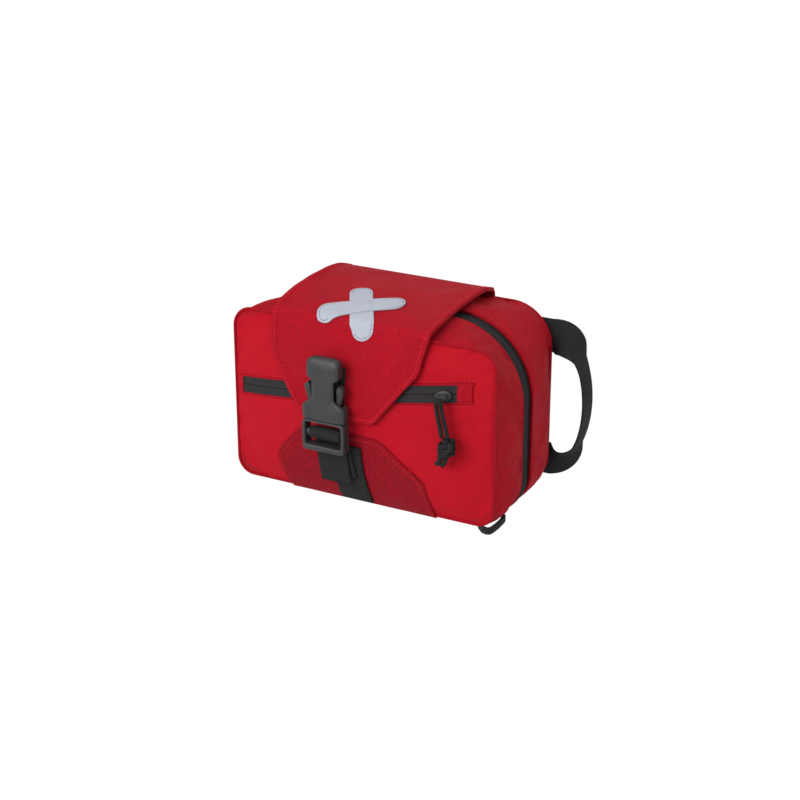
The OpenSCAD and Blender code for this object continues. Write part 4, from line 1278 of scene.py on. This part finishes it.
under_layer = refine(np.array([[6.5, TAIL_Y + 4.2, 26], [5.0, TAIL_Y + 2.9, 34], [3.5, TAIL_Y + 2.1, 42],
                               [2.0, TAIL_Y + 1.8, 49]]), 8)
under_layer[:, 0] += BUCKLE_X
second = ribbon("second", under_layer, (1, 0, 0.12), 12.0, 0.7)
tail = join("strap_tail_webbing", [tail, second])
dress(tail, "plug", webbing_cloth, ("strap_tail",))
lip = np.stack([np.linspace(-10, 10, 20) + BUCKLE_X + 3.1, np.full(20, TAIL_Y + 0.9), np.full(20, 25.6)], 1)
sew("tail_stitches_low", lip, (0, -1, 0), "plug", black_thread, "webbing")
lip = lip + np.array([0, -0.3, 3.2])
sew("tail_stitches_high", lip, (0, -1, 0), "plug", black_thread, "webbing")
z = np.linspace(83, 107, 16)
tab_path = on_front(np.full(16, BUCKLE_X), z, 3 + 2.2 + 1.4)
tab = ribbon("socket_tab_webbing", tab_path, (1, 0, 0), 11.3, 0.8)
dress(tab, "flap", webbing_cloth, ("socket_tab",))
print("webbing on the buckle made")

# %% [markdown]
# ## Sliders, tabs and the cord puller
# The pocket slider carries a doubled cord with a knot. The cord is one free piece of cord:
# it leaves the knot, passes through the slider's bridge and comes back, about 55 mm in all.
# %% Pocket slider
SLIDER_X = 68.0
SLOPE, TURN = np.arctan2(POCKET_Z1 - POCKET_Z0, POCKET_X1 - POCKET_X0), np.radians(11)
SLIDE = np.array([SLIDER_X, float(front_y(SLIDER_X, pocket_z(SLIDER_X))), pocket_z(SLIDER_X)])
SLIDER_GAP = 2.5


def turned(points):
    """Slider points turned by the panel's slant and the zip's slope, then moved in place."""
    p = np.asarray(points, float).reshape(-1, 3)
    c, s = np.cos(TURN), np.sin(TURN)
    p = p @ np.array([[c, -s, 0], [s, c, 0], [0, 0, 1]]).T
    c, s = np.cos(SLOPE), np.sin(SLOPE)
    p = p @ np.array([[c, 0, -s], [0, 1, 0], [s, 0, c]]).T
    return (p + SLIDE).reshape(np.asarray(points).shape)


def slider_plate(y0, y1, dome):
    """The slider's drop-shaped plate: rings shrink towards its middle as it domes."""
    a = np.linspace(0, 2 * np.pi, 48, endpoint=False)
    half = 3.2 + 0.8 * (np.cos(a) + 1) / 2
    edge = np.stack([5.6 * np.cos(a), 0 * a, half * np.sin(a)], 1)
    rows = []
    for scale, y in ((0.2, y1 - dome * 0.98), (0.5, y1 - dome * 0.8), (0.8, y1 - dome * 0.4),
                     (0.95, y1 - 0.1), (1.0, y1 + 0.3), (1.0, y0 - 0.25), (0.93, y0), (0.2, y0)):
        rows.append(edge * scale + np.array([0, y, 0]))
    return np.array(rows)


plate = surface("plate", turned(slider_plate(-SLIDER_GAP, -SLIDER_GAP - 2.0, 0.7)), wrap=True, ends="fan")
t = np.linspace(0, np.pi, 24)
arch = np.stack([3.3 * np.cos(t), -SLIDER_GAP - 1.2 - 4.6 * np.sin(t) ** 0.8, 0 * t], 1)
bridge = ribbon("bridge", turned(arch), (0, 0, 1), 1.4, 0.6)
slider = join("pocket_slider_body", [plate, bridge])
dress(slider, "pocket_slider", painted, ("pocket_slider",))

# %% The puller's cord
PULL = SLIDE + np.array([1.0, -SLIDER_GAP - 8.5, -1.0])
CORD_D = 3.0
cord_points = np.array([[2.2, 0.6, -26], [1.2, 0.4, -20], [-0.6, 0.2, -12], [-1.6, 0, -6], [-1.8, 0, -3],
                        [-0.9, 0, -0.6], [0.9, 0, -0.6], [1.8, 0, -3], [2.2, 0, -6], [3.4, 0.2, -12],
                        [5.4, 0.4, -20], [6.6, 0.6, -26]])
cord_path = refine(cord_points, 5) + PULL
cord = tube("puller_cord_braid", cord_path, CORD_D / 2, 12)
dress(cord, "puller", cord_braid, ("puller_cord",))


def knot():
    """An overhand knot: three wraps round the two strands, one crossing strand, and two
    tails. Each wrap is a circle that climbs as it turns."""
    centre = PULL + np.array([6.0, 0.6, -33.0])
    t = np.linspace(0, 3.05 * 2 * np.pi, 130)
    climb = np.linspace(4.8, -4.6, 130)
    swing = 4.4 + 0.7 * np.sin(np.linspace(0, np.pi, 130))
    wraps = np.stack([swing * np.cos(t), 0.78 * swing * np.sin(t), climb + 1.3 * np.cos(t)], 1)
    wraps = tube("wraps", wraps + centre, 1.55, 10)
    cross = refine(np.array([[3.8, -2.6, 5.6], [4.8, -4.4, 2.4], [2.2, -5.4, -1.2], [-1.6, -5.0, -4.0],
                             [-4.2, -2.6, -6.2]]), 8)
    cross = tube("cross", cross + centre, 1.6, 10)
    tails = []
    for points in ([[-2.0, -1, -4], [-3.6, -1.2, -7.4], [-5.4, -0.8, -10.4], [-7.0, -0.4, -12.6]],
                   [[0.6, -0.6, -4], [-0.2, -0.8, -8], [-1.8, -0.6, -11.2], [-3.2, -0.2, -13.0]]):
        route = refine(np.array(points), 6)
        last = len(route) - 1
        radius = np.interp(np.arange(len(route)), [0, last - 2, last], [1.6, 1.7, 1.95])
        tails.append(tube("tail", route + centre, radius, 10))
    core = refine(np.array([[-0.6, 0, 6.6], [-0.6, 0, 2], [-0.4, 0, -3], [-0.8, 0, -6]]), 5)
    return join("puller_knot_wraps", [wraps, cross, tube("core", core + centre, 2.6, 12)] + tails)


cord_knot = dress(knot(), "puller", cord_braid, ("puller_knot",))


# %% Main zip sliders and tabs
def main_slider(side, label):
    """A drop-shaped slider on top of the arch, with a small bridge and a long tab."""
    a = np.linspace(0, 2 * np.pi, 40, endpoint=False)
    edge = np.stack([5.8 * np.cos(a) * side, (3.2 + 0.4 * np.cos(a)) * np.sin(a), 0 * a], 1)
    rows = [edge * s + np.array([side * 6.7, 0, ZIP_TOP + 0.3 + z]) for s, z in
            ((0.2, 0), (0.95, 0), (1, 0.3), (1, 1.6), (0.93, 1.95), (0.7, 2.15), (0.2, 2.25))]
    plate = surface("main_slider_body_" + label, np.array(rows), wrap=True, ends="fan")
    t = np.linspace(0, np.pi, 16)
    arch = np.stack([side * (6.7 + 2.6 * np.cos(t)), 0 * t, ZIP_TOP + 2.3 + 1.2 * np.sin(t)], 1)
    bridge = ribbon("bridge", arch, (0, 1, 0), 1.1, 0.35)
    body = join("main_slider_body_" + label, [plate, bridge])
    dress(body, "main_slider_" + label, painted, ("main_slider_" + label,))
    far = (1 + np.cos(a)) / 2
    half = (2.8 + 0.7 * far) * np.sign(np.sin(a)) * np.abs(np.sin(a)) ** 0.6
    outer = np.stack([side * (9.9 + 22.6 * far), half, 0 * a], 1)
    hole = np.stack([side * (28.9 + 1.5 * np.cos(a)), 1.5 * np.sin(a), 0 * a], 1)
    rise = np.array([0, 0, ZIP_TOP + 2.7])
    near = hole * 0.2 + outer * 0.8
    rows = [hole + rise, near + rise, outer + rise + [0, 0, 0.15], outer + rise + [0, 0, 0.8],
            near + rise + [0, 0, 1], hole + rise + [0, 0, 1], hole + rise]
    tab = surface("main_tab_plate_" + label, np.array(rows), wrap=True)
    merge(tab)
    dress(tab, "main_slider_" + label, painted, ("main_tab_" + label,))


main_slider(-1, "left")
main_slider(1, "right")
print("sliders made")

# %% [markdown]
# ## Side handle and belt loops
# The handle is one ribbon that lies flat to the back at both ends and twists a quarter turn
# between them, so its face looks outwards at the belly. Box stitches hold its anchors.
# %% Side handle
HANDLE_X, HANDLE_REACH, HANDLE_Y, HANDLE_MID, HANDLE_HALF = 97.0, 125.0, 63.2, 63.0, 47.0


def handle_line(t):
    """Half an oval: out by a sine raised to 0.8, and down by a cosine."""
    a = np.pi * t
    return np.stack([HANDLE_X + (HANDLE_REACH - HANDLE_X) * np.sin(a) ** 0.8, HANDLE_Y + 0 * a,
                     HANDLE_MID + HANDLE_HALF * np.cos(a)], -1)


t = 0.5 - 0.498 * np.cos(np.linspace(0, np.pi, 90))
line = handle_line(t)
d = unit(handle_line(np.minimum(1, t + 0.002)) - handle_line(np.maximum(0, t - 0.002)))
n = np.stack([d[:, 2], 0 * t, -d[:, 0]], 1)
twist = np.radians(90 * np.minimum(1, 1.4 * np.sin(np.pi * t)))[:, None]
wide = -np.cos(twist) * n + np.sin(twist) * np.array([0, 1.0, 0])
half_width = 12.5 - 3.7 * ease((np.sin(np.pi * t) - 0.5) / 0.4)
handle = ribbon("side_handle_webbing", line, wide, half_width, 0.85, sides=24)
dress(handle, "handle", webbing_cloth, ("side_handle",))


# %% Anchors and belt loops
def box_stitch(name, centre, half_x, half_z, body):
    """A rectangle with a cross inside it, sewn on the back."""
    cx, cy, cz = centre
    corners = np.array([[-1, -1], [1, -1], [1, 1], [-1, 1], [-1, -1], [1, 1], [1, -1], [-1, 1]], float)
    share = np.tile(np.linspace(0, 1, 20, endpoint=False), 7)[:, None]
    p = np.repeat(corners[:-1], 20, axis=0) + share * np.repeat(np.diff(corners, axis=0), 20, axis=0)
    path = np.stack([cx + half_x * p[:, 0], np.full(len(p), cy), cz + half_z * p[:, 1]], 1)
    sew(name, path, (0, 1, 0), body, black_thread, "webbing", pitch=2.8, length=1.9)


for label, z in (("upper", 110.0), ("lower", 16.0)):
    x = np.linspace(69, 98.2, 14)
    path = np.stack([x, HANDLE_Y + 0 * x, z + 0 * x], 1)
    anchor = ribbon("handle_anchor_webbing_" + label, path, (0, 0, 1), 12.5, 0.8)
    dress(anchor, "back_half", webbing_cloth, ("handle_anchor_" + label,))
    box_stitch("handle_anchor_stitches_" + label, (80, HANDLE_Y + 0.85, z), 7.5, 8.5, "back_half")
for label, x in (("left", -45.0), ("right", 45.0)):
    gap = np.array([[24, 0], [34, 0], [46, 7], [68, 7.6], [90, 7], [102, 0], [112, 0]], float)
    y = back_y(x, gap[:, 0]) + 1.7 + gap[:, 1]
    path = refine(np.stack([np.full(7, x), y, gap[:, 0]], 1), 8)
    path[:, 1] = np.maximum(path[:, 1], back_y(x, path[:, 2]) + 1.2)
    loop = ribbon("belt_loop_webbing_" + label, path, (1, 0, 0), 12.5, 0.8)
    dress(loop, "back_half", webbing_cloth, ("rear_belt_loop_" + label,))
    for end, z in (("low", 29.0), ("high", 107.0)):
        centre = (x, float(back_y(x, z)) + 2.55, z)
        box_stitch("belt_loop_stitches_" + label + "_" + end, centre, 9, 3.6, "back_half")
print("handle and loops made")

# %% [markdown]
# ## Hinge cloth
# Two strips of cloth cross a joint: the fold along the bottom, and the cloth behind the flap. Each is
# put on the back half first, then taken off it again, with its place baked into its mesh.
# %% Bottom fold and flap hinge
def strip_along_x(name, profile, half_t, x0, x1, cols=40):
    """A strip whose y, z profile is carried from x0 to x1, as a slab of 2 half_t."""
    profile = refine(np.asarray(profile, float), 6)
    x = np.linspace(x0, x1, cols)
    n = unit(np.stack([-np.gradient(profile[:, 1]), np.gradient(profile[:, 0])], 1))
    place = lambda p: np.stack([np.broadcast_to(x, (len(p), cols)), np.repeat(p[:, :1], cols, 1),
                                np.repeat(p[:, 1:], cols, 1)], 2)
    return slab(name, place(profile - n * half_t), place(profile + n * half_t), bevel=0.2)


FOLD_PROFILE = [(8.2, 1.0), (4.5, 0.9), (2, 0.8), (0, 0.75), (-2, 0.8), (-4.5, 0.9), (-8.2, 1.0)]
HINGE_PROFILE = [(61.9, 119.8), (62.3, 125.5), (62.6, 130.5), (62.2, 134.9), (60.4, 137.4), (57.6, 138.8),
                 (54.2, 140.3)]
fold = strip_along_x("bottom_fold_cloth", FOLD_PROFILE, 0.65, -78, 78)
dress(fold, "back_half", wing_red, ("hinge_gusset",))
fold.parent = None
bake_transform(fold)
hinge = strip_along_x("flap_hinge_cloth", HINGE_PROFILE, 0.7, -62.6, 51.6)
dress(hinge, "back_half", red_cloth, ("flap_hinge_tape",))
hinge.parent = None
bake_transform(hinge)
for label, z in (("low", 121.8), ("high", 125.2)):
    row = np.stack([np.linspace(-61, 50, 60), np.full(60, 62.95), np.full(60, z)], 1)
    sew("flap_hinge_stitches_" + label, row, (0, 1, 0), "back_half", red_thread, "dark_red_nylon")
print("hinge cloth made")


# %% [markdown]
# Bandage rolls and a tape roll stand in the back half behind an elastic band, with the
# tweezers. The front half has a mesh pocket with gauze and plasters, and a folded foil
# blanket. They show when the bag is open, so each has its own wrapping and ends.
# %% Rolls
def wound_roll(name, centre, order, radius, length, node, core=3.5, turns=7):
    """A wound bandage: its ends are cut by a spiral groove, as rings of changing depth,
    and its side swells a little between the ends. order says which way its axis lies."""
    rings = []
    steps = np.linspace(core, radius - 0.6, 6 * turns)
    groove = 0.55 * (np.cos((steps - core) / (radius - core) * 2 * np.pi * turns) - 1) / 2
    for r, g in zip(steps, groove):
        rings.append((r, -length / 2 + 0.4 - g))
    side = np.linspace(-1, 1, 13)
    rings += [(radius - 0.35 * a * a - 0.3 * (abs(a) > 0.95), a * (length / 2 - 0.5)) for a in side]
    rings += [(r, length / 2 - 0.4 + g) for r, g in zip(steps[::-1], groove[::-1])]
    rings = np.array([(core, -length / 2 + 2)] + rings + [(core, length / 2 - 2)])
    a = np.linspace(0, 2 * np.pi, 56, endpoint=False)
    grid = np.stack([rings[:, :1] * np.cos(a), rings[:, :1] * np.sin(a), np.repeat(rings[:, 1:], 56, 1)], 2)
    obj = surface(name, grid[..., order] + np.array(centre), wrap=True, ends="fan")
    return dress(obj, "back_half", gauze_cloth, (node,))


wound_roll("bandage_large_gauze", (-50, 32, 30), [2, 0, 1], 17.6, 77.4, "bandage_roll_large", 4.0)
for label, x in (("left", -70), ("right", -36)):
    wound_roll("bandage_" + label + "_gauze", (x, 33, 84), [0, 1, 2], 14.7, 59.4, "bandage_roll_" + label)
for label, x in (("left", -70), ("right", -36)):
    a = np.linspace(0, 2 * np.pi, 60, endpoint=False)
    wrap = np.array([np.stack([x + r * np.cos(a), 33 + r * np.sin(a), 0 * a + z], 1) for r, z in
                     ((14.5, 76), (15.0, 76.2), (15.0, 91.8), (14.5, 92))])
    wrapper = surface("bandage_wrapper_" + label, np.concatenate([wrap, wrap[:1]]), wrap=True)
    dress(wrapper, "back_half", paper)


def tape_ring():
    """Adhesive tape on its core: a lathe section with a rolled rim and faint winding."""
    section = np.array([[9.0, 11.6], [11.0, 11.8], [11.2, 11.3], [14, 11.5], [17, 11.3], [20, 11.5],
                        [21.4, 11.4], [21.8, 11.0]])
    section = np.concatenate([[[9.0, -11.6]], section, section[::-1] * [1, -1]])
    a = np.linspace(0, 2 * np.pi, 72, endpoint=False)
    grid = np.stack([70 + section[:, :1] * np.cos(a), 32 + np.repeat(section[:, 1:], 72, 1),
                     32 + section[:, :1] * np.sin(a)], 2)
    obj = surface("tape_roll_windings", grid, wrap=True)
    merge(obj)
    return obj


dress(tape_ring(), "back_half", gauze_cloth, ("tape_roll",))


# %% Tweezers, elastic band and packets
def tweezer_arm(side):
    """One sprung arm: a flat loft that leans away from the middle and meets at both ends."""
    z = np.linspace(34, 106, 30)
    t = (z - 34) / 72
    open_by = 1.5 * np.sin(np.pi * t) ** 0.8 + 0.55
    centres = np.stack([0 * z - 2, 48 + side * open_by * 0.75, z], 1)
    return loft("arm", centres, 1.0 + 2.9 * ease(t * 1.6), 0.5, sides=20)


tweezers = join("tweezers_arms", [tweezer_arm(-1), tweezer_arm(1)])
dress(tweezers, "back_half", steel, ("tweezers",))
x = np.linspace(-82, 82, 120)
path = np.stack([x, 54.4 - 0.25 * np.cos(x / 4.2) ** 2, np.full(120, 62.0)], 1)
elastic = ribbon("organiser_elastic", path, (0, 0, 1), 11.6, 0.7)
dress(elastic, "back_half", mesh_cloth, ("organiser_band",))
for number, cx in enumerate((-60.0, -26.0, -2.0, 30.0, 62.0)):
    z = np.linspace(51, 73, 12)
    row = np.stack([np.full(12, cx), np.full(12, 53.35), z], 1)
    sew("organiser_stitches_" + "abcde"[number], row, (0, -1, 0), "back_half", black_thread, "webbing")


def pillow(name, centre, size, material, node, crimp):
    """A flat packet: its thickness grows from crimped edges to a full middle, with shallow
    wrinkles that run in from the corners."""
    w, deep, h = np.array(size) / 2
    s, t = np.meshgrid(np.linspace(-1, 1, 49), np.linspace(-1, 1, 49))
    edge = np.minimum(w * (1 - np.abs(s)), h * (1 - np.abs(t)))
    full = ease((edge - crimp) / 7.0)
    wrinkle = 0.06 * np.sin(14 * s + 5 * t) * np.sin(11 * t - 4 * s)
    thick = 0.16 + (0.78 + wrinkle) * full
    x, z = centre[0] + w * s, centre[2] + h * t
    front, rear = [np.stack([x, centre[1] + way * deep * thick, z], 2) for way in (-1, 1)]
    obj = slab(name, front, rear, uv=np.stack([w * s, h * t], 2) * MM, bevel=0)
    return dress(obj, "front_half", material, (node,))


pillow("gauze_packet", (-40, -29.3, 58), (76, 7.2, 84), paper, "gauze_pack", 4.0)
pillow("plaster_pouch", (42, -29.3, 52), (70, 7.2, 74), paper, "plaster_packet", 4.0)
pillow("foil_blanket", (0, -12.5, 42), (92, 17, 62), foil, "foil_blanket_pack", 1.0)


# %% Mesh pocket
def pocket_grid():
    """The mesh pocket: one path round its sides and front, carried upwards, and half its
    thickness at each height as steps along the path's normals."""
    left = np.array([[-83.4, -34.0, 0], [-83.4, -28, 0], [-81.5, -24.5, 0], [-60, -24.1, 0]])
    path = refine(np.concatenate([left, [[0, -24.0, 0]], left[::-1] * [-1, 1, 1]]), 8)
    z = np.concatenate([np.linspace(12.4, 74, 24), [76.5, 77.6]])
    n = unit(np.stack([-np.gradient(path[:, 1]), np.gradient(path[:, 0]), 0 * path[:, 0]], 1))
    thick = np.concatenate([np.full(24, 0.4), [0.75, 0.75]])[:, None, None]
    sheet = path[None] + np.array([0, 0, 1.0]) * z[:, None, None]
    return sheet, n * thick


middle, thick = pocket_grid()
pocket = slab("mesh_pocket_sheet", middle - thick, middle + thick, bevel=0)
dress(pocket, "front_half", mesh_cloth, ("inner_pocket",))
cut_sheet(pocket, middle)
row = np.stack([np.linspace(-80, 80, 60), np.full(60, -23.2), np.full(60, 75.6)], 1)
sew("mesh_pocket_stitches", row, (0, 1, 0), "front_half", grey_thread, "lining")
print("contents made")

# %% [markdown]
# ## Sizes
# The last lines write down the CAD box and the finished box, so they can be compared.
# %% Sizes
bpy.context.view_layer.update()
visual_box = [list(corner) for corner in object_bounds()]
for name, box in (("cad", cad_box), ("visual", visual_box)):
    print(name, [[round(v * 1000, 1) for v in corner] for corner in box])
shown = [o for o in bpy.data.objects if o.type == "MESH"]
print("pieces", len(shown), "polygons", sum(len(o.data.polygons) for o in shown))
